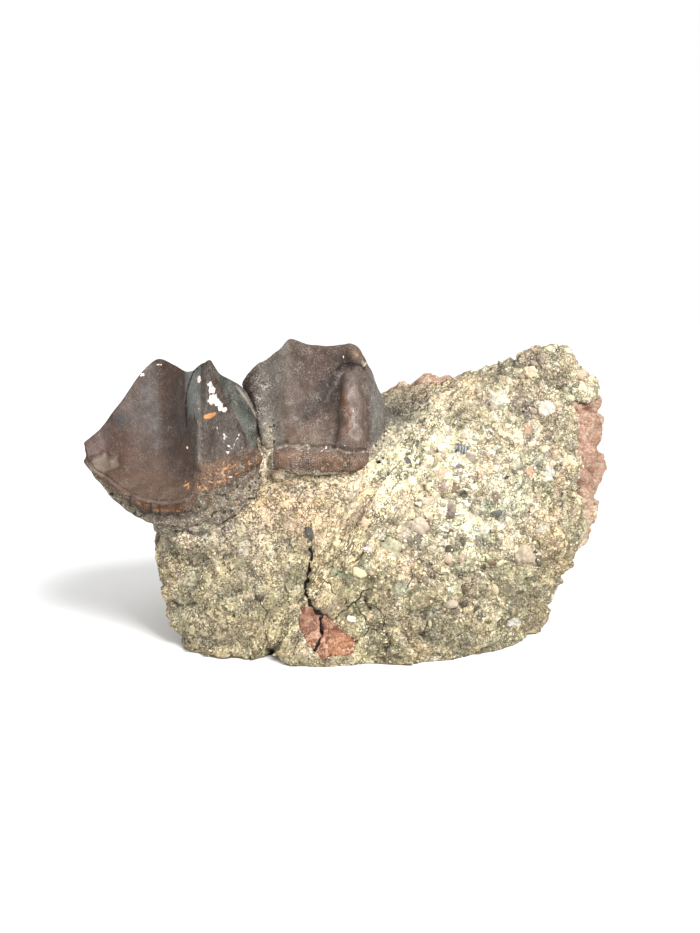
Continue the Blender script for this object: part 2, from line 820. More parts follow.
@dataclass(frozen=True)
class EnamelFinish:
    """Smooth brown fossil enamel with scuffs, dust, mineral patches and crust."""

    name: str
    scuff_amount: float
    gloss: float = 0.42
    dull: float = 0.80
    lean: float = 0.0
    scuffs: float = 0.2
    specular: float = 0.24
    bumps: Bumps = Bumps(0.5, 0.3)

    def material(self, groups: Groups) -> bpy.types.Material:
        """The finish as a material that reads paint, calcite, rust, crust, pale, line and matte.

        Args:
            groups: the shared node groups.

        Returns:
            The material.
        """
        made, graph, shader = new_material(self.name)
        vector = graph.millimetres()
        leaning = graph.millimetres((0.3, 0.3, 3.0), self.lean)
        kit = Palette(graph, groups, vector)
        matte = graph.mask("matte")
        streak = graph.noise(leaning, 1.2, 4.0, 0.6)
        cloud = graph.noise(vector, 3.2, 5.0, 0.6)
        tone = graph.times(graph.step(streak, 0.3, 0.7, 0.68, 0.96), graph.step(cloud, 0.3, 0.7, 0.80, 1.24))
        base = graph.scaled(graph.paint("paint"), tone)
        dusty = graph.times(kit.specks(0.42, self.scuff_amount), graph.step(matte, 0.0, 1.0, 0.30, 0.75))
        base = graph.mix(dusty, base, DUST)
        scratched = graph.times(kit.lines(1.6, 0.012, leaning), graph.step(matte, 0.0, 1.0, 0.22, 0.42))
        base = graph.mix(scratched, base, SCRATCH)
        rubbed = graph.step(graph.noise(vector, 4.0, 5.0, 0.7), 0.36, 0.70, 0.0, self.scuffs)
        worn = graph.times(kit.lines(0.7, 0.035), rubbed)
        worn = graph.math("MULTIPLY", worn, graph.step(matte, 0.0, 1.0, 1.0, 2.2), clamp=True)
        base = graph.mix(worn, base, SCUFF)
        dark = kit.lines(0.8, 0.04)
        base = graph.mix(graph.times(dark, graph.step(matte, 0.0, 0.7, 0.0, 0.6)), base, SOOT)
        grit = kit.grains(0.75, 0.9).outputs
        crust = kit.torn("crust", 1.3, 1.3)
        toned = graph.mix(graph.mask("pale"), DARK_CRUST, PALE_CRUST)
        sandy = graph.mix(1.0, graph.ramp(grit["Pick"], GRAINS, "CONSTANT"), toned, "MULTIPLY")
        seams = graph.most(graph.times(grit["Edge"], 0.75), graph.times(dark, 0.85))
        base = graph.mix(crust, base, graph.mix(seams, sandy, CRUST_SEAM))
        rust = kit.torn("rust", 0.9, 1.2)
        base = graph.mix(graph.times(rust, 0.8), base, RUST)
        calcite = kit.torn("calcite", 0.8, 0.9)
        base = graph.mix(calcite, base, graph.ramp(graph.noise(vector, 1.1), CALCITE))
        line = kit.torn("line", 0.7, 0.7)
        base = graph.mix(graph.times(line, 0.85), base, HAIRLINE)
        graph.feed(shader.inputs["Base Color"], base)
        covered = graph.most(graph.most(crust, calcite), graph.most(rust, matte), clamp=True)
        rough = graph.step(covered, 0.0, 1.0, self.gloss, self.dull)
        uneven = graph.step(graph.noise(vector, 1.9, 4.0), 0.3, 0.7, -0.04, 0.12)
        graph.feed(shader.inputs["Roughness"], graph.math("ADD", rough, uneven, clamp=True))
        shader.inputs["Specular IOR Level"].default_value = self.specular
        lumpy = graph.step(matte, 0.0, 1.0, 0.10 + self.scuffs * 0.9, 1.0)
        height = graph.times(graph.noise(vector, 0.5, 3.0), lumpy)
        height = graph.plus_times(worn, 0.8, height)
        height = graph.plus_times(dark, graph.step(matte, 0.0, 1.0, 0.0, -0.6), height)
        height = graph.plus_times(graph.times(grit["Height"], crust), 1.3, height)
        height = graph.plus_times(calcite, 1.1, height)
        height = graph.plus_times(line, -1.3, height)
        self.bumps.dress(graph, shader, height)
        return made


# The block and its grit


@dataclass(frozen=True)
class Zone:
    """A soft-edged region of the block with a tone of its own."""

    middle: Point
    reach: Point
    tone: Colour


@dataclass(frozen=True)
class Tones:
    """The block's tone from place to place, as a tint of its grain colours."""

    rest: Colour = (0.80, 0.76, 0.65)
    zones: tuple[Zone, ...] = (
        Zone((50.0, -5.0, 60.0), (24.0, 30.0, 18.0), (0.89, 0.87, 0.87)),
        Zone((28.0, -20.0, 42.0), (17.0, 30.0, 15.0), (1.42, 1.46, 1.45)),
        Zone((22.0, -34.0, 10.0), (22.0, 22.0, 12.0), (0.74, 0.72, 0.65)),
        Zone((-34.0, -30.0, 12.0), (16.0, 22.0, 14.0), (0.53, 0.50, 0.45)),
        Zone((-34.0, -29.0, 26.0), (16.0, 14.0, 9.0), (0.67, 0.64, 0.60)),
        Zone((-8.0, -25.0, 38.0), (16.0, 12.0, 8.0), (0.80, 0.68, 0.61)),
        Zone((-33.0, -29.0, 31.0), (10.0, 9.0, 3.5), (0.46, 0.48, 0.57)),
        Zone((14.0, 2.0, 56.0), (7.0, 12.0, 5.0), (0.11, 0.135, 0.19)),
        Zone((20.0, 9.0, 59.0), (7.0, 12.0, 5.0), (0.12, 0.14, 0.19)),
        Zone((30.0, 10.0, 62.0), (12.0, 14.0, 6.0), (0.72, 0.62, 0.54)),
        Zone((56.0, -12.0, 20.0), (12.0, 20.0, 14.0), (0.62, 0.59, 0.53)),
    )
    hold: float = 0.18

    def at(self, points: Array) -> Array:
        """The tint at each place.

        Args:
            points: places in millimetres, one a row.

        Returns:
            A colour for each place.
        """
        total = np.full(len(points), self.hold)
        tint = np.tile(np.array(self.rest) * self.hold, (len(points), 1))
        for zone in self.zones:
            weight = near(points, zone.middle, zone.reach)
            total += weight
            tint += weight[:, None] * np.array(zone.tone)
        return tint / total[:, None]


MAIN_CRACK: Line = (
    (-7.3, 30.0), (-7.9, 27.4), (-7.4, 25.6), (-8.0, 24.0), (-7.9, 22.2), (-8.8, 20.4), (-8.5, 19.2),
    (-9.3, 17.6), (-9.2, 16.4), (-7.6, 14.8), (-7.0, 13.4), (-5.2, 12.4), (-4.6, 10.8), (-5.2, 9.2),
    (-4.9, 7.6), (-6.2, 4.6),
)
FINE_CRACKS: tuple[Line, ...] = (
    ((6.6, 28.6), (5.0, 26.4), (3.6, 25.6), (2.2, 24.0), (0.6, 22.6), (-1.4, 21.4)),
    ((-1.0, 12.0), (0.4, 13.6), (1.6, 13.9), (3.0, 15.9), (4.4, 16.2), (5.5, 19.0), (7.4, 19.2), (9.0, 18.2)),
    ((1.6, 13.9), (0.6, 16.6), (-1.6, 17.6), (-3.0, 19.4)),
    ((3.0, 15.9), (5.4, 13.5), (6.6, 12.5), (6.3, 10.8), (7.2, 9.4), (4.9, 6.8)),
    ((8.5, 37.0), (8.1, 35.2), (6.9, 33.8)),
    ((12.6, 32.2), (11.4, 30.9)),
    ((5.2, 36.6), (4.0, 34.6), (4.2, 32.6)),
    ((-18.6, 6.5), (-18.2, 3.5), (-17.6, 0.5)),
    ((20.0, 13.0), (21.6, 10.4), (21.2, 7.6)),
    ((0.2, 10.2), (1.2, 8.2), (0.8, 5.8), (2.4, 3.2)),
    ((9.4, 14.2), (11.0, 12.0), (10.4, 9.6), (12.2, 7.2), (11.6, 4.4)),
    ((-14.6, 18.6), (-13.2, 16.8), (-13.8, 14.8), (-12.2, 13.2)),
    ((-20.4, 13.6), (-18.8, 11.6), (-19.4, 9.4)),
    ((22.0, 25.0), (23.8, 23.4), (26.0, 23.0), (27.6, 21.2)),
    ((16.8, 24.6), (17.6, 22.0), (16.6, 19.6)),
)
FINE_HALF_WIDTH = 0.17
PITS: tuple[Point, ...] = (
    (9.4, -20.6, 48.1), (10.9, -25.9, 43.0), (-8.6, -26.2, 33.6), (-7.2, -26.2, 34.2),
    (-9.0, -26.2, 32.4), (10.2, -20.6, 48.5),
)
CLAST_MIDDLE: Point = (-4.0, -34.0, 8.6)
# The dark notch in the block's foot: its middle, its reach and how far back it goes
NOTCH: tuple[Point, Point] = ((-17.6, -34.0, 0.6), (2.2, 12.0, 3.0))
NOTCH_DEPTH = 4.5


@dataclass(frozen=True)
class Stone:
    """A pebble worn flush with the rock's face, as seen from the front."""

    x: float
    z: float
    wide: float
    tall: float
    colour: Colour


STONES = tuple(Stone(*row) for row in (
    (25.4, 43.6, 1.1, 0.9, (0.302, 0.227, 0.176)),
    (28.9, 43.0, 1.4, 1.2, (0.21, 0.139, 0.101)),
    (16.2, 32.8, 1.5, 1.1, (0.504, 0.42, 0.336)),
    (19.2, 31.0, 1.3, 0.9, (0.185, 0.151, 0.126)),
    (27.2, 28.7, 1.4, 0.9, (0.084, 0.063, 0.05)),
    (38.1, 24.2, 1.0, 0.9, (0.252, 0.143, 0.084)),
    (43.9, 7.6, 1.9, 1.2, (0.504, 0.47, 0.42)),
    (49.0, 58.9, 1.1, 0.8, (0.202, 0.168, 0.143)),
    (48.7, 55.2, 1.2, 1.5, (0.605, 0.353, 0.235)),
    (50.6, 51.8, 0.9, 0.8, (0.554, 0.302, 0.21)),
    (54.5, 52.3, 1.1, 0.8, (0.134, 0.118, 0.109)),
    (49.0, 45.0, 1.2, 1.3, (0.538, 0.319, 0.21)),
    (39.4, 40.1, 1.0, 1.4, (0.227, 0.168, 0.134)),
    (39.9, 36.0, 1.5, 1.2, (0.109, 0.097, 0.084)),
    (27.2, 33.1, 0.8, 0.9, (0.101, 0.092, 0.084)),
    (42.0, 44.3, 1.0, 0.6, (0.042, 0.042, 0.046)),
    (44.0, 42.9, 0.6, 0.7, (0.05, 0.05, 0.055)),
    (46.7, 41.0, 0.9, 0.5, (0.042, 0.046, 0.055)),
    (54.4, 43.6, 1.9, 2.0, (0.655, 0.63, 0.554)),
    (54.4, 59.6, 2.2, 1.9, (0.672, 0.638, 0.554)),
    (25.6, 50.7, 1.1, 0.9, (0.622, 0.395, 0.269)),
    (25.4, 46.6, 1.5, 1.0, (0.605, 0.437, 0.302)),
    (0.4, 22.0, 2.9, 1.3, (0.302, 0.319, 0.202)),
    (19.8, 26.2, 0.9, 0.7, (0.084, 0.084, 0.076)),
    (35.3, 10.3, 0.9, 1.2, (0.101, 0.109, 0.092)),
    (6.9, 28.8, 0.6, 0.9, (0.773, 0.655, 0.605)),
    (51.0, 67.6, 1.0, 0.5, (0.101, 0.076, 0.059)),
    (41.6, 62.6, 2.4, 1.8, (0.655, 0.605, 0.487)),
    (33.2, 49.4, 1.2, 0.8, (0.252, 0.21, 0.168)),
    (17.2, 48.4, 0.8, 0.5, (0.134, 0.126, 0.118)),
    (36.4, 33.0, 1.6, 1.2, (0.655, 0.588, 0.454)),
    (14.7, 19.2, 2.2, 1.6, (0.353, 0.353, 0.252)),
    (52.0, 30.4, 1.5, 1.0, (0.504, 0.47, 0.386)),
    (32.4, 35.6, 1.5, 1.3, (0.672, 0.588, 0.42)),
    (21.0, 21.6, 1.1, 0.8, (0.302, 0.235, 0.193)),
    (30.5, 26.2, 1.2, 0.9, (0.47, 0.353, 0.269)),
    (-7.8, 31.2, 1.2, 1.5, (0.071, 0.07, 0.067)),
    (35.6, 46.5, 1.0, 0.9, (0.638, 0.487, 0.37)),
    (22.0, 40.4, 1.8, 1.3, (0.622, 0.487, 0.37)),
    (30.0, 47.4, 1.0, 0.7, (0.168, 0.151, 0.134)),
))
# Where no fine crack is near, in half widths of one
FAR = 9.0
# Tints of the flat broken faces, with the share of faces where each begins
FACE_TINTS: Stops = (
    (0.0, (0.70, 0.66, 0.63)),
    (0.10, (0.88, 0.90, 0.85)),
    (0.30, (1.0, 1.0, 1.0)),
    (0.62, (1.12, 1.09, 1.03)),
    (0.78, (1.04, 0.95, 0.90)),
    (0.90, (1.22, 1.20, 1.16)),
)


@dataclass(frozen=True)
class Cracks:
    """The cracks' places as numbers for each vertex."""

    gap: Array
    split: Array
    cut: Array


def cracks_at(points: Array) -> Cracks:
    """Where the cracks run down the front.

    Args:
        points: places in millimetres.

    Returns:
        The wide crack's mask, which passes a half on its edges, the signed distance to the nearest fine
        crack in half widths of it, and how deep each place is carved, from 0 to 1.
    """
    gap = np.clip(0.5 + (0.36 - line_distance(points, MAIN_CRACK)) / 1.6, 0.0, 1.0)
    cut = along(points, MAIN_CRACK, 0.6)
    split = np.full(len(points), FAR)
    for line in FINE_CRACKS:
        side = line_side(points, line) / FINE_HALF_WIDTH
        split = np.where(np.abs(side) < np.abs(split), side, split)
        cut = np.maximum(cut, along(points, line, 0.6) * 0.35)
    return Cracks(gap, split, cut)


def jagged(points: Array) -> Array:
    """The places shifted so that a crack drawn at them is jagged."""
    return shifted(points, 1.8, 2.0, (0.9, 0.0, 0.9))


@dataclass
class Sandstone:
    """The block of pebbly sandstone."""

    voxel: float = 0.64
    tones: Tones = Tones()
    lean: float = 0.588
    seat_gap: float = 1.6
    seat_sink: float = 0.12

    def side(self, points: Array) -> Array:
        """How far right of the slanting scarp each place is, in millimetres."""
        return (points[:, 0] - 1.0) * 0.80 - (points[:, 2] - 24.0) * 0.60

    def coarse_share(self, points: Array) -> Array:
        """How much each place belongs to the coarse mass on the right."""
        return blend(self.side(points) + noise_at(points, 9.0) * 3.0, -2.0, 4.0)

    def streak_share(self, points: Array) -> Array:
        """How much each place shows lines running along the scarp."""
        return ridge(self.side(points) + noise_at(points, 8.0, 3.0) * 3.0, -2.0, 7.0)

    def sandy_share(self, points: Array, coarse: Array) -> Array:
        """How much each place belongs to the even sand on top of the left side."""
        high = blend(points[:, 2] + noise_at(points, 9.0, 4.0) * 5.0, 20.0, 30.0)
        return (1.0 - coarse) * high * blend(-points[:, 1], -8.0, 0.0)

    def stones(self, points: Array) -> tuple[Array, Array]:
        """The pebbles that are flush with the front.

        Args:
            points: places in millimetres.

        Returns:
            A mask that passes a half on each pebble's outline, and the colour of the nearest pebble.
        """
        bent = shifted(points, 2.0, 6.0, (0.9, 0.0, -0.9))
        away = np.stack([
            np.hypot((bent[:, 0] - stone.x) / stone.wide, (bent[:, 2] - stone.z) / stone.tall)
            for stone in STONES
        ])
        nearest = np.argmin(away, axis=0)
        inside = 0.5 + (1.0 - away[nearest, np.arange(len(points))]) * 0.7
        front = blend(-points[:, 1], -3.0, 3.0)
        return np.clip(inside, 0.0, 1.0) * front, np.array([stone.colour for stone in STONES])[nearest]

    def relief(
        self, points: Array, coarse: Array, streak: Array, faces: tuple[Cells, Cells]
    ) -> Array:
        """How far the broken surface stands out.

        Args:
            points: places in millimetres.
            coarse: how coarse each place is, from 0 to 1.
            streak: how much each lies in the scarp, from 0 to 1.
            faces: the large and the small broken faces.

        Returns:
            The height of each place in millimetres.
        """
        large, small = faces
        grains = cells_at(points, 1.9, 4.0)
        rough = noise_at(points, 3.0) * 0.25 + noise_at(points, 1.4, 9.0) * 0.26
        across = points[:, 0] * math.cos(self.lean) - points[:, 2] * math.sin(self.lean)
        up = points[:, 0] * math.sin(self.lean) + points[:, 2] * math.cos(self.lean)
        leaning = np.column_stack([across, points[:, 1], up / 4.0])
        folds = 1.0 - np.abs(noise_at(leaning, 3.0, 2.0)) * 3.0
        sandy = self.sandy_share(points, coarse)
        lift = large.facet * (1.3 + 0.5 * coarse) - ridge(large.edge, 0.0, 0.16) * 0.35 * coarse
        lift += (small.facet * 1.4 + blend(small.edge, 0.0, 0.5) * 0.4) * (0.7 + 0.2 * coarse)
        lift = lift * (1.0 - 0.8 * sandy) + (grains.edge - 0.5) * 0.4 + rough + folds * streak * 1.2
        lift += noise_at(points, 7.0, 7.0) * 1.5 * (1.0 - blend(points[:, 2], 26.0, 40.0))
        return lift * (1.0 - 0.7 * near(points, CLAST_MIDDLE, (9.0, 9.0, 9.0)))

    def weather(
        self, points: Array, lift: Array, faces: tuple[Cells, Cells], coarse: Array
    ) -> Array:
        """Tint from the surface's relief: hollows hold dirt, high spots are rubbed pale and faces differ.

        Args:
            points: places in millimetres.
            lift: how far each stands out.
            faces: the large and the small broken faces.
            coarse: how coarse each place is, from 0 to 1.

        Returns:
            A colour for each place, about 1 in the middle.
        """
        high = blend(lift, -1.2, 0.9)[:, None]
        drift = blend(noise_at(points, 11.0, 6.0) + noise_at(points, 4.0, 2.0) * 0.6, -0.5, 0.5)[:, None]
        strong = 1.0 + 0.8 * (1.0 - coarse[:, None])
        relief = (1.0 - 0.20 * strong) * (1.0 - high) + (1.0 + np.array((0.12, 0.10, 0.06)) * strong) * high
        cool, warm = np.array((0.90, 0.93, 0.88)), np.array((1.07, 1.03, 0.97))
        relief = relief * (cool * (1.0 - drift) + warm * drift)
        for cells, strength in zip(faces, (0.4, 0.45)):
            shares = (strength * (0.25 + 0.9 * coarse))[:, None]
            relief = relief * (1.0 + (pick_colours(FACE_TINTS, cells.pick) - 1.0) * shares)
        return relief

    def seat(self, points: Array, guests: BVHTree) -> Array:
        """Draws the rock that almost touches a tooth or pebble onto it.

        Args:
            points: the rock's places in millimetres.
            guests: the shape of everything set in the rock.

        Returns:
            The places, with no slit left round a guest.
        """
        seated = points.copy()
        for index, spot in enumerate(points):
            place = Vector((spot * MM).tolist())
            found, way, _, gap = guests.find_nearest(place, self.seat_gap * MM)
            if found is not None and (place - found).dot(way) > 0.0:
                share = 1.0 - (gap / MM / self.seat_gap) ** 2
                seated[index] = np.array(place.lerp(found - way * self.seat_sink * MM, share)) / MM
        return seated

    def build(self, groups: Groups, guests: BVHTree) -> Piece:
        """The block's piece, dressed and riding the body.

        Args:
            groups: the shared node groups.
            guests: the shape of everything set in the rock.

        Returns:
            The piece.
        """
        obj = remeshed(merged_copy("sandstone_block", "sandstone_rock"), self.voxel)
        points, ways = places(obj), normals(obj)
        coarse, streak = self.coarse_share(points), self.streak_share(points)
        front = blend(-points[:, 1], 2.0, 8.0)
        warp = np.column_stack([noise_at(points, 4.0, seed) for seed in (1.0, 5.0, 9.0)]) * 1.6
        faces = (cells_at(points + warp, 9.5), cells_at(points + warp * 0.6, 3.9, 3.0))
        bent = jagged(points)
        cracks = cracks_at(bent)
        cut = cracks.cut * front
        pits = (near(bent, pit, (0.85, 3.0, 0.6)) * 0.72 for pit in PITS)
        stone, stone_colour = self.stones(points)
        flush = blend(stone, 0.4, 0.7)
        relief = self.relief(points, coarse, streak, faces) * (1.0 - flush * 0.8) + flush * 0.15
        lift = relief * (1.0 - cut) - cut * 0.5
        lift *= blend(points[:, 2], 0.05, 1.2)
        moved = points + ways * lift[:, None]
        notch = near(points, *NOTCH)
        moved[:, 1] += notch * NOTCH_DEPTH
        moved[:, 2] = np.maximum(moved[:, 2], 0.0)
        moved = self.seat(moved, guests)
        move_to(obj, moved)
        weather = self.weather(moved, relief, faces, coarse)
        write_paint(obj, "tint", self.tones.at(moved) * weather * TINT_ROOM)
        write_paint(obj, "stone", stone_colour)
        large, small = (ridge(cells.edge, 0.0, wide) for cells, wide in zip(faces, (0.13, 0.20)))
        write_masks(obj, {
            "coarse": coarse,
            "streak": streak,
            "gap": highest(cracks.gap * front, *pits, notch * 0.62),
            "split": np.where(front > 0.5, cracks.split, FAR),
            "set": stone,
            "seam": highest(large * 0.5, small * 0.6) * (0.25 + 0.75 * coarse),
        })
        obj.data.materials.append(SandstoneFinish("Pebbly sandstone").material(groups))
        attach(obj, BODY)
        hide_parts("sandstone_block")
        report(obj)
        return obj


@dataclass(frozen=True)
class Grit:
    """Grains or pebbles scattered over a host's surface, each partly sunk in it."""

    name: str
    count: int
    smallest: float
    largest: float
    rings: int
    seed: int
    sunk: float = 0.25
    jitter: float = 0.16
    flat: bool = False
    palette: Stops = GRAINS

    def copies(self, count: int) -> Piece:
        """Equal grains a millimetre wide in one object: a first one, copied until there are enough.

        Args:
            count: how many grains are wanted.

        Returns:
            The object.
        """
        bm = bmesh.new()
        bmesh.ops.create_icosphere(bm, subdivisions=self.rings, radius=0.5 * MM)
        parts = (len(bm.verts), len(bm.edges), len(bm.faces))
        made = 1
        while made < count:
            fresh = min(made, count - made)
            verts, edges, faces = (fresh * part for part in parts)
            bmesh.ops.duplicate(bm, geom=bm.verts[:verts] + bm.edges[:edges] + bm.faces[:faces])
            made += fresh
        return new_object(self.name, bm, self.rings > 1)

    def spots(self, host: Piece, weight: Array, rng: np.random.Generator) -> tuple[Array, Array, Array]:
        """Random places on the host.

        Args:
            host: the mesh that the grains sit on.
            weight: how thickly they lie at each of its vertices.
            rng: the source of random numbers.

        Returns:
            The places in millimetres, the surface's normals there and the host's tint there.
        """
        mesh = host.data
        mesh.calc_loop_triangles()
        corners = np.empty(len(mesh.loop_triangles) * 3, np.int32)
        mesh.loop_triangles.foreach_get("vertices", corners)
        corners = corners.reshape(-1, 3)
        at, ways = places(host), normals(host)
        first, second, third = (at[corners[:, index]] for index in range(3))
        areas = np.linalg.norm(np.cross(second - first, third - first), axis=1) * weight[corners].mean(axis=1)
        chosen = rng.choice(len(corners), self.count, p=areas / areas.sum())
        share = rng.random((self.count, 2))
        fold = share.sum(axis=1) > 1.0
        share[fold] = 1.0 - share[fold]
        shares = np.column_stack([1.0 - share.sum(axis=1), share])
        spots = sum(at[corners[chosen, index]] * shares[:, index, None] for index in range(3))
        facing = sum(ways[corners[chosen, index]] * shares[:, index, None] for index in range(3))
        tint = np.empty(len(at) * 4, np.float32)
        mesh.attributes["tint"].data.foreach_get("color", tint)
        shown = tint.reshape(-1, 4)[corners[chosen, 0], :3] / TINT_ROOM
        return spots, facing / np.linalg.norm(facing, axis=1)[:, None], shown

    def scatter(
        self,
        host: Piece,
        weight: Array,
        groups: Groups,
        teeth: BVHTree | None = None,
    ) -> Piece:
        """The grains as one piece.

        Args:
            host: the mesh that they sit on.
            weight: how thickly they lie at each of its vertices.
            groups: the shared node groups.
            teeth: shapes that no grain may lie in.

        Returns:
            The piece, riding the body.
        """
        rng = np.random.default_rng(self.seed)
        spots, ways, shown = self.spots(host, weight, rng)
        keep = np.array([not hidden(spot, teeth) for spot in spots])
        spots, ways, shown = spots[keep], ways[keep], shown[keep]
        count = len(spots)
        obj = self.copies(count)
        corners = len(obj.data.vertices) // count
        grain = places(obj)[:corners]
        sizes = self.smallest * (self.largest / self.smallest) ** (rng.random(count) ** 2.2)
        shapes = sizes[:, None] * rng.uniform([0.8, 0.6, 0.45], [1.35, 1.0, 0.8], (count, 3))
        turns = turned_to(ways, rng) if self.flat else random_turns(count, rng)
        bent = grain[None] * (1.0 + rng.uniform(-self.jitter, self.jitter, (count, corners, 1)))
        placed = np.einsum("nij,nvj->nvi", turns, bent * shapes[:, None, :])
        lift = rng.uniform(-0.6, 1.0, (count, 1)) * (sizes * self.sunk)[:, None]
        if self.flat:
            lift -= shapes[:, 2:3] * 0.36
        placed += (spots + ways * lift)[:, None, :]
        placed[:, :, 2] = np.maximum(placed[:, :, 2], 0.0)
        move_to(obj, placed.reshape(-1, 3))
        colours = pick_colours(self.palette, rng.random(count)) * shown * rng.uniform(0.85, 1.15, (count, 1))
        write_paint(obj, "tint", np.repeat(colours, corners, axis=0))
        obj.data.materials.append(GritFinish(f"{self.name} finish").material(groups))
        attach(obj, BODY)
        report(obj)
        return obj


def random_turns(count: int, rng: np.random.Generator) -> Array:
    """Random rotations as 3 by 3 matrices.

    Args:
        count: how many are wanted.
        rng: the source of random numbers.

    Returns:
        One rotation for each.
    """
    w, x, y, z = (rng.normal(size=count) for _ in range(4))
    length = np.sqrt(w * w + x * x + y * y + z * z)
    w, x, y, z = w / length, x / length, y / length, z / length
    rows = [
        [1 - 2 * (y * y + z * z), 2 * (x * y - z * w), 2 * (x * z + y * w)],
        [2 * (x * y + z * w), 1 - 2 * (x * x + z * z), 2 * (y * z - x * w)],
        [2 * (x * z - y * w), 2 * (y * z + x * w), 1 - 2 * (x * x + y * y)],
    ]
    return np.moveaxis(np.array(rows), 2, 0)


def turned_to(ways: Array, rng: np.random.Generator) -> Array:
    """Rotations whose third axis follows each way, with a random spin."""
    side = np.cross(ways, rng.normal(size=ways.shape))
    side /= np.linalg.norm(side, axis=1)[:, None]
    return np.stack([side, np.cross(ways, side), ways], axis=2)


def hidden(spot: Array, shapes: BVHTree | None) -> bool:
    """Whether a place in millimetres lies inside the shapes."""
    if shapes is None:
        return False
    place = Vector((spot * MM).tolist())
    found, way, _, _ = shapes.find_nearest(place)
    return (place - found).dot(way) < 0.0


# Mudstone


@dataclass(frozen=True)
class Mudstone:
    """A piece of crumbly red mudstone."""

    node: str
    name: str
    voxel: float
    pale: tuple[Zone, ...]
    lump_mm: float
    roughness_mm: float
    grains: Stops
    rest: Colour = (1.0, 1.0, 1.0)
    bumps: Bumps = Bumps(1.0, 0.55)
    pit: Colour = (0.10, 0.045, 0.03)

    def build(self, groups: Groups) -> Piece:
        """The piece, dressed and riding the body.

        Args:
            groups: the shared node groups.

        Returns:
            The piece.
        """
        obj = remeshed(merged_copy(self.node, self.name), self.voxel)
        points, ways = places(obj), normals(obj)
        faces = cells_at(shifted(points, 3.0, 3.0, 1.0), self.lump_mm, 2.0)
        lift = blend(faces.edge, 0.0, 0.8) * 0.6 + faces.facet * 1.2 + noise_at(points, 2.0, 5.0) * 0.3
        moved = points + ways * (lift * self.roughness_mm)[:, None]
        moved[:, 2] = np.maximum(moved[:, 2], 0.0)
        move_to(obj, moved)
        tones = Tones(self.rest, self.pale, 0.5)
        write_paint(obj, "tint", tones.at(moved) * TINT_ROOM)
        write_masks(obj, {
            "coarse": 0.0,
            "streak": 0.0,
            "seam": ridge(faces.edge, 0.0, 0.15) * 0.45,
            "gap": cracks_at(jagged(points)).gap * (moved[:, 1] < -20.0),
            "split": FAR,
            "set": 0.0,
        })
        finish = SandstoneFinish(
            f"{self.name} finish", self.grains, self.grains, patch_mm=2.8, stone_mm=1.5, sand_mm=0.8,
            line_mm=1.6, pit=self.pit, bumps=self.bumps,
        )
        obj.data.materials.append(finish.material(groups))
        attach(obj, BODY)
        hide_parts(self.node)
        report(obj)
        return obj


# Teeth


@dataclass
class Brush:
    """Paint laid on a tooth in coats, one colour for each vertex."""

    points: Array
    paint: Array

    def coat(self, colour: Colour | Array, share: Array) -> None:
        """Moves each vertex's colour towards another by its own share."""
        share = np.clip(share, 0.0, 1.0)[:, None]
        self.paint = self.paint * (1.0 - share) + np.array(colour) * share

    def dab(self, colour: Colour, middle: Point, reach: Point, strength: float | Array = 1.0) -> None:
        """Lays a soft-edged dab."""
        self.coat(colour, near(self.points, middle, reach) * strength)

    def stroke(self, colour: Colour, line: Line, width: float, strength: float | Array = 1.0) -> None:
        """Lays a soft-edged stroke along a line drawn on the front."""
        self.coat(colour, along(self.points, line, width) * strength)


def dabs(points: Array, spots: tuple[tuple[float, ...], ...], depth: float) -> Array:
    """A mask of soft-edged dabs on the front.

    Args:
        points: places in millimetres.
        spots: each dab's x, z, half width and half height.
        depth: how far back the dabs reach in millimetres.

    Returns:
        The highest dab at each place.
    """
    return highest(*(near(points, (x, -20.0, z), (wide, depth, tall)) for x, z, wide, tall in spots))


@dataclass(frozen=True)
class Column:
    """One upright line of a tooth's wall: its foot on the rock, its enamel's foot and its biting edge."""

    base: Point
    rim: Point
    crest: Point
    hollow: float


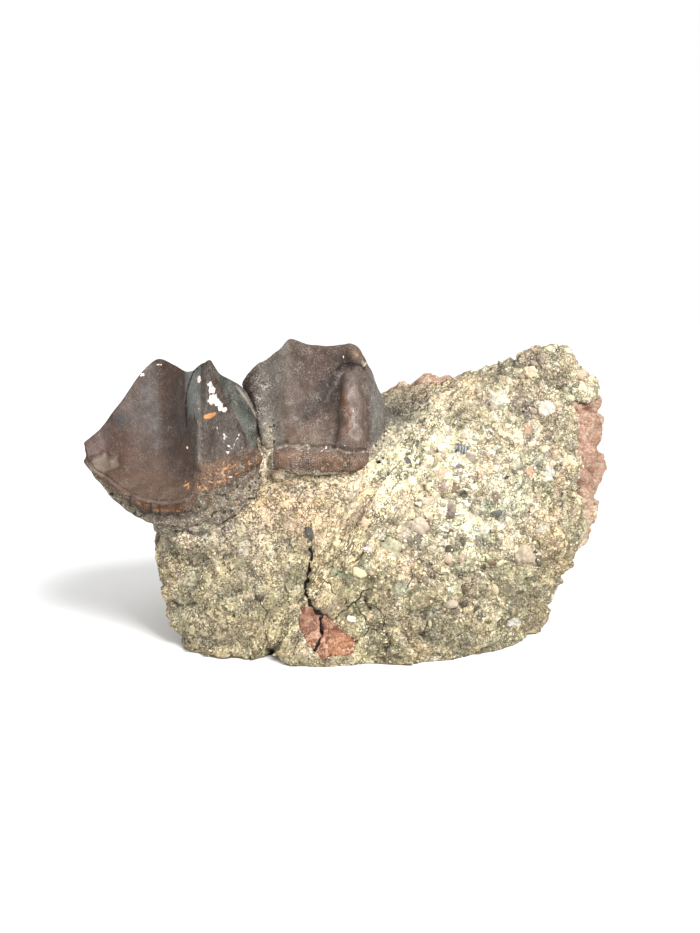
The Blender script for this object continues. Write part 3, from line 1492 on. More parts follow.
@dataclass
class Tooth:
    """A tooth crown whose wall runs through columns set around a middle."""

    node: str
    name: str
    columns: tuple[Column, ...]
    middle: Point
    swell: float
    lip: float
    valley: float
    spacing: float = 0.42
    root_taper: float = 0.5
    root_depth: float = 4.0
    crest_rise: float = 0.5

    def knots(self) -> Array:
        """The wall's knots: rings from the root's end up to the crest and down into the basin.

        Returns:
            The knots' places in millimetres, by ring and column.
        """
        middle = np.array(self.middle)
        rings = []
        for column in self.columns:
            base, rim = np.array(column.base), np.array(column.rim)
            crest = np.array(column.crest) - np.array((0.0, 0.0, self.crest_rise))
            away = self.outward(base)
            dip = self.outward((rim + crest) * 0.5) * -column.hollow
            level = np.array((base[0] - middle[0], base[1] - middle[1], 0.0))
            inside = middle - crest
            rings.append([
                base - level * self.root_taper - np.array((0.0, 0.0, self.root_depth)),
                base,
                base + (rim - base) * 0.55 + away * self.swell,
                rim + away * self.lip,
                rim + (crest - rim) * 0.22 + dip * 0.7,
                rim + (crest - rim) * 0.5 + dip,
                rim + (crest - rim) * 0.8 + dip * 0.6,
                crest,
                crest + inside / np.linalg.norm(inside) * 1.6,
                crest + inside * 0.38 - np.array((0.0, 0.0, self.valley * 0.5)),
                crest + inside * 0.75 - np.array((0.0, 0.0, self.valley)),
            ])
        return np.array(rings).transpose(1, 0, 2)

    def outward(self, point: Array) -> Array:
        """The level direction from the tooth's middle to a point."""
        away = np.array((point[0] - self.middle[0], point[1] - self.middle[1], 0.0))
        return away / np.linalg.norm(away)

    def steps(self, lengths: Array, sharp: tuple[int, ...]) -> Array:
        """Places along the knots at an even spacing, closer together at the sharp ones.

        Args:
            lengths: length of each stretch between knots.
            sharp: knots that need closer places.

        Returns:
            The places, in knots from the first.
        """
        made = []
        for index, length in enumerate(lengths):
            close = index in sharp or index + 1 in sharp
            count = max(3, round(length / (self.spacing * (0.7 if close else 1.0))))
            made.extend(index + np.arange(count) / count)
        return np.array(made)

    def wall(self) -> bmesh.types.BMesh:
        """The crown's closed mesh, which keeps each vertex's height above the rim along the wall.

        Returns:
            The mesh, in metres.
        """
        knots = self.knots()
        rise = np.linalg.norm(np.diff(knots, axis=0), axis=2).max(axis=1)
        rows = np.append(self.steps(rise, (3, 7)), float(len(knots) - 1))
        ring = np.roll(knots, -1, axis=1) - knots
        around = self.steps(np.linalg.norm(ring, axis=2).max(axis=0), ())
        sheet = spline(knots, rows, False)
        sheet = spline(sheet.transpose(1, 0, 2), around, True).transpose(1, 0, 2)
        lengths = np.linalg.norm(np.diff(sheet, axis=0), axis=2)
        run = np.concatenate([np.zeros((1, sheet.shape[1])), np.cumsum(lengths, axis=0)])
        rim_row = int(np.argmin(np.abs(rows - 3.0)))
        height = run - run[rim_row]
        count = len(around)
        bm = bmesh.new()
        layer = bm.verts.layers.float.new("rim_height")
        grid = bmesh.ops.create_grid(bm, x_segments=count, y_segments=len(rows) - 1, size=1.0)["verts"]
        for index, vert in enumerate(grid):
            row, column = divmod(index, count + 1)
            vert.co = Vector(sheet[row, column % count].tolist()) * MM
            vert[layer] = height[row, column % count]
        bmesh.ops.remove_doubles(bm, verts=bm.verts, dist=SAME_PLACE)
        ends = bmesh.ops.holes_fill(bm, edges=bm.edges, sides=0)["faces"]
        bmesh.ops.poke(bm, faces=ends)
        bmesh.ops.recalc_face_normals(bm, faces=bm.faces)
        return bm

    def build(self, groups: Groups) -> Piece:
        """The crown's piece, dressed and riding the body.

        Args:
            groups: the shared node groups.

        Returns:
            The piece.
        """
        obj = new_object(self.name, self.wall())
        height = read_mask(obj, "rim_height")
        points, ways = places(obj), normals(obj)
        lift = self.carve(points, height)
        move_to(obj, points + ways * lift[:, None])
        self.dress(obj, places(obj), height)
        obj.data.materials.append(self.finish().material(groups))
        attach(obj, BODY)
        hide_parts(self.node)
        report(obj)
        return obj

    def carve(self, points: Array, height: Array) -> Array:
        """How far the surface moves outwards at each place, in millimetres."""
        raise NotImplementedError

    def dress(self, obj: Piece, points: Array, height: Array) -> None:
        """Stores the paint and masks that the finish reads."""
        raise NotImplementedError

    def finish(self) -> EnamelFinish:
        """The tooth's finish."""
        raise NotImplementedError


@dataclass
class Molar(Tooth):
    """The larger tooth on the left, with its wide hollow face."""

    left_edge: Line = (
        (-33.4, 75.0), (-36.9, 72.0), (-38.5, 68.0), (-39.4, 64.8), (-39.5, 61.5), (-39.4, 58.0),
    )
    right_edge: Line = (
        (-32.6, 75.5), (-31.4, 71.5), (-29.5, 65.4), (-27.1, 60.3), (-24.6, 55.5), (-23.2, 52.5),
    )
    scratch_lean: float = -0.5
    calcite: tuple[tuple[float, ...], ...] = (
        (-35.2, 70.2, 0.66, 1.2), (-32.3, 69.2, 0.72, 1.08), (-31.9, 67.6, 0.84, 0.96),
        (-32.0, 65.4, 1.2, 1.8), (-30.9, 64.2, 0.72, 0.96), (-30.3, 62.9, 0.6, 1.32),
        (-29.5, 61.8, 0.72, 0.72), (-47.4, 72.0, 1.44, 0.6), (-51.4, 69.6, 0.72, 0.84),
        (-27.6, 46.2, 1.08, 0.36), (-38.8, 52.6, 0.36, 0.36),
    )

    def zones(self, points: Array) -> dict[str, Array]:
        """Soft masks of the tooth's parts.

        Args:
            points: places in millimetres, one a row.

        Returns:
            Each mask by name, from 0 to 1.
        """
        front = blend(-points[:, 1], 2.0, 8.0)
        wander = noise_at(points, 2.6, 5.0) * 1.3 + noise_at(points, 1.0, 7.0) * 0.5
        x, z = points[:, 0], points[:, 2]
        right, left = (np.array(line[::-1]).T for line in (self.right_edge, self.left_edge))
        edge_x, left_x = np.interp(z, right[1], right[0]), np.interp(z, left[1], left[0])
        facet = blend(x - edge_x, 0.0, 0.6) * front * blend(z + wander, 51.0, 53.5)
        spur = blend(x - left_x, 0.0, 0.8 + blend(-z, -60.0, -50.0) * 3.0) * blend(edge_x - x, 0.0, 0.6)
        spur *= front * blend(z + wander, 46.5, 49.5)
        levels = ((49.8, 0.15), (42.0, 0.37))
        top, bottom = (level + (x + 35.0) * slope - z + wander for level, slope in levels)
        high = blend(x + wander, -39.5, -34.5) * blend(top, -1.2, 1.2) * front
        low = blend(x + wander, -38.0, -35.0) * blend(bottom, -0.8, 0.8) * front
        return {"front": front, "facet": facet, "spur": spur, "foot": high * (1.0 - low), "sandy": low}

    def chip(self, points: Array) -> Array:
        """1 on the broken shell-shaped chip near the tip, 0 off it."""
        away = (points - np.array((-60.6, -24.0, 48.5))) / np.array((3.9, 9.0, 2.8))
        return blend(noise_at(points, 1.8, 4.0) * 0.6 - np.sqrt(np.sum(away * away, axis=1)), -1.15, -0.75)

    def patch(self, points: Array) -> Array:
        """1 on the blue-grey patch left of the spur, with streaks hanging from its foot, 0 off it."""
        ragged = noise_at(points * np.array((1.0, 1.0, 0.25)), 0.9, 4.0) * 3.2
        x, z = points[:, 0], points[:, 2]
        inside = blend(x + noise_at(points, 2.0) * 0.4, -39.9, -39.2) * blend(-x, 34.4, 35.0)
        return inside * blend(z + ragged, 60.0, 62.0)

    def carve(self, points: Array, height: Array) -> Array:
        """Lip and band at the foot, ridges, bulge, lump and the chip at the tip.

        Args:
            points: places in millimetres, one a row.
            height: each place's height above the rim in millimetres.

        Returns:
            How far each place moves outwards in millimetres.
        """
        zone = self.zones(points)
        front = zone["front"]
        left = blend(-points[:, 0], 36.0, 39.0)
        worn = height + noise_at(points, 2.0, 3.0) * 0.5
        lip = ridge(worn, 1.5, 0.35) * 0.16 - ridge(worn, 2.3, 0.4) * 0.12 - ridge(height, -0.9, 1.3) * 0.4
        lift = lip * front * left
        lift += along(points, self.right_edge, 0.75) * 0.65 * front
        lift -= along(points, self.left_edge, 0.6) * 0.35 * front
        lift += along(points, ((-34.6, 64.0), (-35.0, 50.0)), 0.55) * 0.5 * front
        lift += near(points, (-37.2, -23.0, 65.2), (1.9, 9.0, 5.0)) * 1.1
        lift += near(points, (-22.8, -24.0, 49.4), (2.6, 5.0, 1.7)) * 1.3
        lift += near(points, (-27.2, -27.0, 47.6), (2.0, 5.0, 1.4)) * 0.9
        lift += near(points, (-31.5, -29.0, 46.6), (1.6, 5.0, 1.6)) * 0.7
        lift -= self.chip(points) * 0.6
        pitted = zone["spur"] * blend(points[:, 0], -35.6, -34.2)
        coarse = highest(pitted * 0.55, zone["foot"], zone["sandy"])
        lift += (noise_at(points, 2.2) * 0.75 + noise_at(points, 1.1, 4.0) * 0.5) * coarse
        band = blend(-height, -0.6, 0.4) * front
        lift += noise_at(points, 1.5, 8.0) * 0.2 * band
        return lift + noise_at(points, 9.0, 2.0) * 0.3 + noise_at(points, 3.0, 6.0) * 0.06

    def dress(self, obj: Piece, points: Array, height: Array) -> None:
        """Stores the paint and masks that the finish reads.

        Args:
            obj: the crown.
            points: places in millimetres, one a row.
            height: each place's height above the rim in millimetres.
        """
        x, z = points[:, 0], points[:, 2]
        zone = self.zones(points)
        front = zone["front"]
        back = 1.0 - blend(-points[:, 1], -6.0, 2.0)
        brush = Brush(points, np.tile(np.array((0.064, 0.037, 0.026)), (len(points), 1)))
        brush.coat((0.093, 0.055, 0.037), blend(-z, -58.0, -43.0) * front)
        brush.dab((0.056, 0.021, 0.013), (-59.0, -22.0, 52.0), (7.5, 10.0, 7.4), 0.9)
        brush.dab((0.075, 0.032, 0.022), (-41.5, -14.0, 69.5), (3.2, 10.0, 4.0), 0.7)
        sheen: Line = ((-50.0, 69.0), (-49.0, 60.0), (-46.0, 53.0), (-41.0, 47.0))
        brush.stroke((0.042, 0.030, 0.024), sheen, 3.0, 0.7 * front)
        brush.stroke((0.056, 0.038, 0.031), ((-44.6, 71.0), (-43.8, 62.0), (-42.6, 54.0)), 2.2, 0.5 * front)
        brush.stroke((0.076, 0.061, 0.054), ((-41.6, 68.0), (-41.0, 56.0)), 1.8, 0.8 * front)
        smeared = shifted(points, 3.0, 2.0, 2.5)
        brush.coat((0.026, 0.026, 0.027), near(smeared, (-57.0, -17.5, 58.8), (3.2, 6.0, 2.2)) * 0.9)
        brush.coat((0.130, 0.092, 0.066), self.chip(points) * 0.85)
        dusty = blend(noise_at(points, 2.6, 3.0), -0.3, 0.3)[:, None]
        facet = np.array((0.041, 0.044, 0.036)) * (1.0 - dusty) + np.array((0.090, 0.095, 0.078)) * dusty
        brush.coat(facet, zone["facet"])
        brush.coat((0.082, 0.067, 0.056), zone["spur"])
        brush.coat((0.176, 0.184, 0.170), self.patch(points) * front)
        brush.dab((0.060, 0.040, 0.032), (-32.6, -27.0, 56.0), (1.7, 6.0, 4.4), zone["spur"] * 0.8)
        brush.stroke((0.24, 0.20, 0.165), ((-35.4, 66.0), (-35.2, 60.0), (-35.4, 50.0)), 0.6, 0.8 * front)
        ragged = height + noise_at(points, 1.6, 2.0) * 1.3
        uneven = height + noise_at(points, 2.8, 9.0) * 1.2
        brush.coat((0.066, 0.027, 0.010), blend(-uneven, -0.9, -0.2) * front)
        broken = blend(noise_at(points, 1.7, 4.0), -0.1, 0.4)
        brush.coat((0.155, 0.075, 0.030), ridge(uneven, -0.4, 0.5) * broken * front)
        brush.coat((0.036, 0.024, 0.018), blend(-ragged, 1.2, 1.9) * front)
        broken = blend(noise_at(points, 2.0, 3.0), -0.4, 0.4) * blend(-x, 35.0, 38.0)
        brush.coat((0.20, 0.165, 0.14), ridge(height, 1.5, 0.3) * broken * 0.5 * front)
        brush.coat((0.135, 0.080, 0.052), zone["foot"])
        brush.dab((0.080, 0.040, 0.024), (-22.8, -24.0, 49.4), (2.8, 6.0, 1.8))
        brush.stroke((0.36, 0.29, 0.24), ((-26.6, 67.2), (-23.0, 62.0), (-20.8, 58.5)), 0.3, 0.7)
        brush.coat((0.085, 0.062, 0.05), back * 0.8)
        write_paint(obj, "paint", brush.paint)
        self.dress_masks(obj, points, height, zone, back)

    def dress_masks(
        self,
        obj: Piece,
        points: Array,
        height: Array,
        zone: dict[str, Array],
        back: Array,
    ) -> None:
        """Stores the masks that the finish reads.

        Args:
            obj: the crown.
            points: its places in millimetres.
            height: each place's height above the rim.
            zone: the soft masks of its parts.
            back: 1 behind the crown and 0 in front.
        """
        x, front = points[:, 0], zone["front"]
        foot, sandy, spur = zone["foot"], zone["sandy"], zone["spur"]
        ragged = height + noise_at(points, 1.6, 2.0) * 1.3
        worn = height + noise_at(points, 2.0, 3.0) * 0.5
        bent = shifted(points, 2.0, 4.0, 1.2)
        cuts = (
            ((-47.4, 39.8), (-47.2, 37.4)), ((-45.2, 39.2), (-45.0, 37.0)), ((-52.6, 41.2), (-52.9, 38.6)),
        )
        beside = points + np.array((0.7, 0.0, 0.0))
        write_masks(obj, {
            "calcite": front * highest(
                dabs(points, self.calcite, 14.0),
                along(bent, ((-31.6, 59.5), (-30.4, 56.5), (-28.6, 53.6), (-27.8, 51.8)), 0.5) * 0.50,
                along(bent, ((-25.8, 55.6), (-26.8, 53.6), (-27.4, 52.0)), 0.3) * 0.50,
                along(bent, ((-35.6, 66.0), (-35.4, 60.0), (-34.6, 54.0)), 0.3) * 0.46,
            ),
            "rust": highest(
                near(points, (-32.4, -27.0, 61.5), (1.5, 8.0, 0.8)),
                near(points, (-38.8, -30.0, 44.6), (1.9, 4.0, 1.6)) * 0.66,
                foot * 0.34,
                near(points, (-28.6, -27.0, 48.4), (3.4, 8.0, 1.2)) * 0.5,
                blend(-height, -0.9, -0.2) * front * 0.28,
            ),
            "crust": highest(
                sandy * 0.8,
                foot * 0.36,
                blend(-x, 52.0, 55.0) * blend(-ragged, 0.2, 1.6) * 0.75 * front,
                blend(-ragged, 1.9, 3.2) * 0.62 * front,
                spur * blend(x, -35.0, -34.0) * 0.22,
                back * 0.3,
            ),
            "pale": sandy * 0.12 + blend(-height, 4.0, 5.6) * 0.25 + foot * 0.45,
            "line": front * highest(
                highest(ridge(worn, 2.3, 0.3), ridge(worn, 0.7, 0.3)) * blend(-x, 34.5, 37.0) * 0.56,
                *(along(points, cut, 0.32) * 0.95 for cut in cuts),
                along(points, self.left_edge, 0.5) * 0.62,
                along(beside, self.right_edge, 0.5) * 0.5,
                highest(spur * blend(x, -35.4, -34.4), foot) * 0.36,
                sandy * 0.38,
            ),
            "matte": np.clip(
                zone["facet"] * 0.8 + spur * 0.55 + highest(foot, sandy)
                + blend(-height, 0.0, 1.0) * 0.6 + back * 0.7, 0.0, 1.0
            ),
        })

    def finish(self) -> EnamelFinish:
        """The tooth's finish."""
        return EnamelFinish("Molar enamel", 0.045, lean=self.scratch_lean)


@dataclass
class Premolar(Tooth):
    """The smaller tooth on the right, with a swollen band at its foot and a pillar down its face."""

    pillar: Line = ((2.2, 69.6), (2.6, 60.0), (2.8, 51.0))
    over_pillar: Line = ((-1.2, 70.8), (0.2, 72.2), (2.6, 73.0), (4.6, 72.4), (6.2, 71.0))
    crease: Line = ((0.8, 72.4), (-2.6, 66.8), (-5.6, 62.6), (-9.0, 60.4))
    flank: Line = ((-15.4, 72.5), (-15.2, 62.0), (-15.0, 53.0))
    calcite: tuple[tuple[float, ...], ...] = (
        (3.4, 61.6, 0.35, 2.2), (3.6, 56.4, 0.35, 1.8), (2.6, 65.4, 0.3, 0.9), (-0.6, 68.6, 0.2, 1.2),
        (-2.2, 65.6, 0.2, 1.1), (-4.0, 51.8, 1.6, 0.35), (3.4, 51.4, 0.9, 0.3), (-12.0, 50.6, 1.2, 0.3),
        (1.0, 53.0, 0.8, 0.2), (-8.0, 51.4, 0.9, 0.25),
    )

    def pillar_share(self, points: Array) -> tuple[Array, Array]:
        """The pillar's rounded height from 0 to 1, and the distance past its side in millimetres."""
        radius = np.interp(points[:, 2], [52.0, 60.0, 70.0, 73.0], [3.9, 3.7, 2.5, 1.8])
        away = line_distance(shifted(points, 4.0, 3.0, 0.9), self.pillar)
        return np.clip(1.0 - (away / radius) ** 2, 0.0, 1.0) ** 0.8, away - radius

    def carve(self, points: Array, height: Array) -> Array:
        """Band, pillar, crease, groove and knob.

        Args:
            points: places in millimetres, one a row.
            height: each place's height above the rim in millimetres.

        Returns:
            How far each place moves outwards in millimetres.
        """
        front = blend(-points[:, 1], 4.0, 10.0)
        inside = (1.0 - blend(points[:, 0], 4.6, 7.4)) * blend(points[:, 0], -18.6, -16.2)
        rough = noise_at(points, 2.4, 3.0)
        band = ridge(height, -2.6 + rough * 0.8, 1.9) * 0.9 - ridge(height + rough * 0.8, 0.9, 0.6) * 0.7
        band += (noise_at(points, 1.6, 6.0) * 0.3 + rough * 0.25) * blend(-height, -1.0, 0.0)
        lift = band * front * inside
        dome, past = self.pillar_share(points)
        uneven = 1.0 + noise_at(points, 3.2, 8.0) * 0.5
        lift += (dome * 1.8 * uneven - ridge(past, 0.5, 0.9) * 0.6) * front * blend(height, -0.5, 2.0)
        lift -= along(points, self.over_pillar, 0.7) * 0.6 * front
        lift -= along(points, self.crease, 3.2) * 1.4 * front
        lift -= along(points + rough[:, None] * 0.8, self.flank, 1.5) * 0.3 * front
        lift += near(points, (3.2, -13.0, 75.2), (1.6, 4.0, 1.2)) * 0.8
        lift += noise_at(points, 7.0, 2.0) * 0.3 + noise_at(points, 2.2, 6.0) * 0.2 * front
        tuft = 0.5 + noise_at(points, 1.3, 8.0) * 0.5
        lift += near(points, (-18.6, -15.0, 53.0), (2.6, 8.0, 7.0)) * tuft * front
        return lift + noise_at(points, 1.1, 1.0) * 0.08 * front

    def dress(self, obj: Piece, points: Array, height: Array) -> None:
        """Stores the paint and masks that the finish reads.

        Args:
            obj: the crown.
            points: places in millimetres, one a row.
            height: each place's height above the rim in millimetres.
        """
        x = points[:, 0]
        front = blend(-points[:, 1], -2.0, 5.0)
        back = 1.0 - blend(-points[:, 1], -6.0, 2.0)
        inside = (1.0 - blend(x, 5.4, 7.2)) * blend(x, -18.2, -16.8)
        dome, past = self.pillar_share(points)
        wander = shifted(points, 2.2, 5.0, 1.4)
        edge = x + noise_at(points, 2.4, 7.0) * 1.6 + noise_at(points, 6.0, 4.0) * 1.6
        fringe = height + noise_at(points, 1.4, 6.0) * 1.2
        brush = Brush(points, np.tile(np.array((0.084, 0.055, 0.040)), (len(points), 1)))
        brush.dab((0.058, 0.034, 0.025), (-5.0, -12.0, 72.0), (8.0, 10.0, 6.0), 0.8)
        brush.dab((0.135, 0.086, 0.062), (-9.0, -20.0, 56.0), (8.0, 10.0, 5.0), 0.7)
        brush.coat((0.120, 0.104, 0.088), blend(-edge, 13.0, 17.4) * 0.9)
        brush.coat((0.070, 0.042, 0.032), blend(-x, 20.6, 22.6) * 0.9)
        brush.stroke((0.19, 0.17, 0.14), ((-16.3, 71.0), (-16.0, 60.0), (-16.2, 52.0)), 1.0, 0.45 * front)
        brush.dab((0.30, 0.265, 0.22), (-18.5, -16.0, 53.0), (2.8, 8.0, 5.0), 0.8)
        brush.coat((0.145, 0.138, 0.124), blend(x, 6.6, 8.6) * 0.9)
        creased = along(shifted(points, 2.4, 0.0, 1.0), self.crease, 3.0)
        brush.coat((0.034, 0.022, 0.018), creased * 0.8 * front)
        brush.coat((0.143, 0.100, 0.082), dome * 0.9 * front * blend(height, -0.5, 1.0))
        brush.points = wander
        brush.stroke((0.128, 0.056, 0.024), ((0.9, 65.0), (1.5, 61.0), (1.6, 56.5)), 1.2, 0.9 * front)
        brush.stroke((0.42, 0.37, 0.34), ((2.6, 66.5), (3.0, 62.0), (3.3, 54.0)), 0.4, 0.35 * front)
        brush.stroke((0.32, 0.29, 0.26), ((0.2, 70.2), (-1.6, 67.2), (-3.2, 63.4)), 0.35, 0.25 * front)
        brush.coat((0.050, 0.034, 0.028), ridge(past, 0.6, 0.8) * 0.55 * front * blend(height, 0.5, 2.0))
        brush.coat((0.165, 0.098, 0.064), blend(-height, -0.1, 0.6) * front * inside)
        blotch = blend(noise_at(wander, 1.8, 8.0), 0.0, 0.4) * blend(-height, 0.0, 0.8) * front * inside
        brush.coat((0.090, 0.052, 0.032), blotch * 0.7)
        brush.dab((0.110, 0.048, 0.020), (-0.5, -22.0, 48.6), (5.0, 6.0, 1.7), 0.9)
        brush.dab((0.100, 0.052, 0.030), (-11.0, -22.0, 47.6), (5.0, 6.0, 1.2), 0.7)
        brush.coat((0.30, 0.25, 0.21), ridge(fringe, 0.3, 0.4) * 0.6 * front * inside)
        brush.points = points
        brush.dab((0.10, 0.060, 0.030), (3.4, -13.5, 75.0), (1.6, 4.0, 1.2))
        brush.coat((0.105, 0.078, 0.062), back * 0.8)
        write_paint(obj, "paint", brush.paint)
        matte = blend(-edge, 14.2, 16.6) * 0.85 + blend(x, 6.5, 8.5) * 0.85
        matte += blend(-height, -0.6, 0.6) * 0.6 + back * 0.7
        write_masks(obj, {
            "calcite": highest(
                near(wander, (0.9, -14.0, 74.2), (0.3, 5.0, 0.9)) * 0.8,
                dabs(wander, self.calcite, 12.0) * 0.58,
            ),
            "rust": highest(
                near(points, (4.2, -13.5, 74.8), (1.0, 4.0, 0.8)) * 0.5,
                blend(-height, -0.4, 0.4) * inside * front * 0.27,
            ),
            "crust": highest(
                near(wander, (6.0, -13.0, 72.6), (1.8, 5.0, 1.1)) * 0.62,
                near(points, (-18.6, -15.0, 53.0), (2.6, 8.0, 7.0)) * 0.70 * front,
                blend(-x, 16.6, 17.8) * blend(-height, -3.0, 0.5) * 0.75,
                blend(-height, 5.0, 6.2) * 0.7,
                ridge(fringe, 0.3, 0.6) * 0.5 * front,
                blend(x, 6.4, 7.6) * blend(-height, -2.4, 0.4) * 0.72,
                back * 0.3,
            ),
            "pale": 0.85 - 0.35 * blend(-x, 15.0, 17.0) * blend(height, 0.0, 4.0),
            "line": front * highest(
                along(shifted(points, 2.0, 3.0, 0.5), self.over_pillar, 0.5) * 0.8,
                along(points, self.crease, 1.2) * 0.40,
                ridge(height + noise_at(points, 1.6, 2.0), -5.2, 0.35) * 0.5,
                ridge(past, 0.5, 0.35) * 0.46 * blend(height, 1.0, 3.0),
            ),
            "matte": np.clip(matte + 0.12, 0.0, 1.0),
        })

    def finish(self) -> EnamelFinish:
        """The tooth's finish."""
        return EnamelFinish("Premolar enamel", 0.085, 0.44, scuffs=0.42)


MOLAR_COLUMNS = tuple(Column(*row) for row in (
    ((-56.5, -24, 39.0), (-64.4, -23.5, 48.8), (-65.0, -22.0, 54.2), 0.0),
    ((-54.5, -25, 37.0), (-59.5, -25.5, 44.8), (-61.5, -18.8, 57.0), 0.8),
    ((-51.5, -26.5, 35.4), (-55.0, -28.0, 41.8), (-57.0, -15.8, 62.8), 2.2),
    ((-48.0, -28, 34.2), (-50.0, -29.6, 39.8), (-52.4, -12.2, 69.3), 3.4),
    ((-44.5, -28.3, 33.3), (-45.5, -30.6, 39.0), (-47.9, -9.2, 73.4), 3.8),
    ((-41.0, -28.3, 32.8), (-41.5, -31.0, 39.1), (-43.0, -12.2, 72.4), 3.4),
    ((-38.0, -28, 32.7), (-38.0, -31.2, 40.0), (-38.4, -18.5, 71.4), 2.2),
    ((-34.6, -27.5, 33.1), (-34.6, -31.0, 41.6), (-33.0, -27.2, 75.0), 0.0),
    ((-31.0, -27, 33.6), (-31.0, -29.8, 44.3), (-30.4, -22.0, 71.4), 1.0),
    ((-27.5, -25.5, 35.1), (-27.5, -27.5, 47.0), (-27.6, -17.0, 69.0), 1.6),
    ((-24.0, -23, 37.4), (-24.5, -25.0, 48.8), (-24.6, -15.2, 66.2), 1.0),
    ((-21.6, -20, 40.3), (-21.6, -21.5, 50.0), (-21.9, -16.9, 60.6), 0.0),
    ((-23.0, -12, 41.0), (-22.6, -12.0, 50.0), (-24.2, -10.2, 59.0), 0.0),
    ((-25.0, -2, 41.0), (-24.8, -2.0, 50.0), (-26.4, 0.0, 58.0), -0.4),
    ((-29.0, 8.0, 41.0), (-28.6, 9.0, 49.0), (-30.0, 6.6, 59.0), -1.0),
    ((-33.0, 13.5, 40.0), (-33.0, 15.4, 48.0), (-34.0, 11.5, 61.0), -1.6),
    ((-38.5, 13.5, 40.0), (-38.5, 16.0, 48.0), (-39.0, 12.0, 57.5), -0.6),
    ((-46.0, 12.5, 40.0), (-47.0, 15.0, 48.0), (-46.0, 11.0, 61.0), -1.6),
    ((-51.5, 7.0, 40.0), (-53.6, 8.6, 48.0), (-52.5, 5.5, 59.0), -0.8),
    ((-54.0, -2.0, 40.0), (-57.8, -1.5, 48.0), (-57.2, -3.0, 58.0), -0.3),
    ((-56.0, -13.0, 40.0), (-61.0, -13.0, 48.0), (-61.0, -12.5, 56.5), 0.0),
))
PREMOLAR_COLUMNS = tuple(Column(*row) for row in (
    ((-18.8, -12.0, 44.0), (-18.8, -12.5, 49.2), (-25.8, -8.8, 67.6), -0.4),
    ((-19.2, -16.0, 45.2), (-19.2, -16.6, 49.0), (-22.6, -10.2, 71.4), -1.2),
    ((-17.8, -18.5, 46.2), (-17.8, -17.6, 50.2), (-18.8, -9.8, 74.0), 0.6),
    ((-14.5, -21.0, 46.0), (-15.0, -20.4, 52.0), (-15.6, -10.2, 76.6), 0.4),
    ((-11.0, -22.0, 45.8), (-11.5, -21.4, 52.0), (-13.2, -8.6, 78.6), 0.8),
    ((-7.0, -22.5, 45.7), (-8.0, -21.8, 51.7), (-9.4, -9.6, 77.6), 1.2),
    ((-3.0, -22.5, 45.7), (-4.0, -21.8, 51.4), (-4.4, -10.6, 77.2), 1.6),
    ((0.0, -22.3, 45.8), (-0.8, -22.0, 51.2), (-0.4, -11.8, 77.6), 0.4),
    ((2.6, -22.0, 46.0), (2.4, -22.0, 50.8), (2.8, -12.0, 77.8), -1.6),
    ((5.6, -20.5, 47.0), (5.8, -20.8, 50.6), (5.4, -11.4, 75.6), -1.6),
    ((7.8, -17.5, 48.4), (8.4, -17.6, 51.0), (7.4, -9.4, 71.6), -0.4),
    ((9.6, -12.0, 50.0), (10.7, -12.0, 52.6), (9.2, -7.0, 67.0), -0.3),
    ((10.7, -5.0, 51.0), (11.8, -4.0, 54.0), (10.6, -3.0, 63.4), -0.3),
    ((10.7, 3.0, 51.0), (11.6, 4.0, 54.0), (9.8, 4.0, 61.4), -0.5),
    ((7.0, 10.0, 50.0), (8.2, 12.0, 53.0), (6.0, 9.0, 61.0), -1.0),
    ((-1.0, 13.5, 49.0), (-1.0, 15.6, 52.0), (-1.5, 11.0, 62.5), -1.4),
    ((-10.0, 13.0, 49.0), (-10.0, 15.0, 52.0), (-9.5, 10.5, 61.5), -1.4),
    ((-22.5, 7.5, 48.0), (-24.4, 8.4, 51.0), (-22.5, 5.5, 60.5), -0.8),
    ((-21.6, 0.0, 46.0), (-22.4, 0.0, 50.0), (-24.4, -1.0, 62.0), -0.4),
    ((-19.4, -7.0, 45.0), (-20.0, -8.0, 49.6), (-25.6, -5.0, 65.4), -0.3),
))


# Pebbles


@dataclass(frozen=True)
class PebbleFinish:
    """A worn pebble's skin."""

    name: str
    light: Colour
    dark: Colour
    stripe: float = 0.0
    roughness: float = 0.62

    def material(self, groups: Groups) -> bpy.types.Material:
        """The finish as a material.

        Args:
            groups: the shared node groups.

        Returns:
            The material.
        """
        made, graph, shader = new_material(self.name)
        vector = graph.millimetres()
        cloud = graph.step(graph.noise(vector, 0.8, 5.0, 0.65), 0.35, 0.65)
        winding = {"Vector": vector, "Scale": 0.35, "Distortion": 7.0, "Detail": 3.0, "Detail Scale": 1.4}
        wave = graph.node("ShaderNodeTexWave", winding).outputs["Fac"]
        striped = graph.times(graph.step(wave, 0.55, 0.75), self.stripe)
        share = graph.most(graph.times(cloud, 1.0 - self.stripe), striped)
        graph.feed(shader.inputs["Base Color"], graph.mix(share, (*self.dark, 1.0), (*self.light, 1.0)))
        shader.inputs["Roughness"].default_value = self.roughness
        Bumps(0.5, 0.2).dress(graph, shader, graph.noise(vector, 0.4, 4.0))
        return made


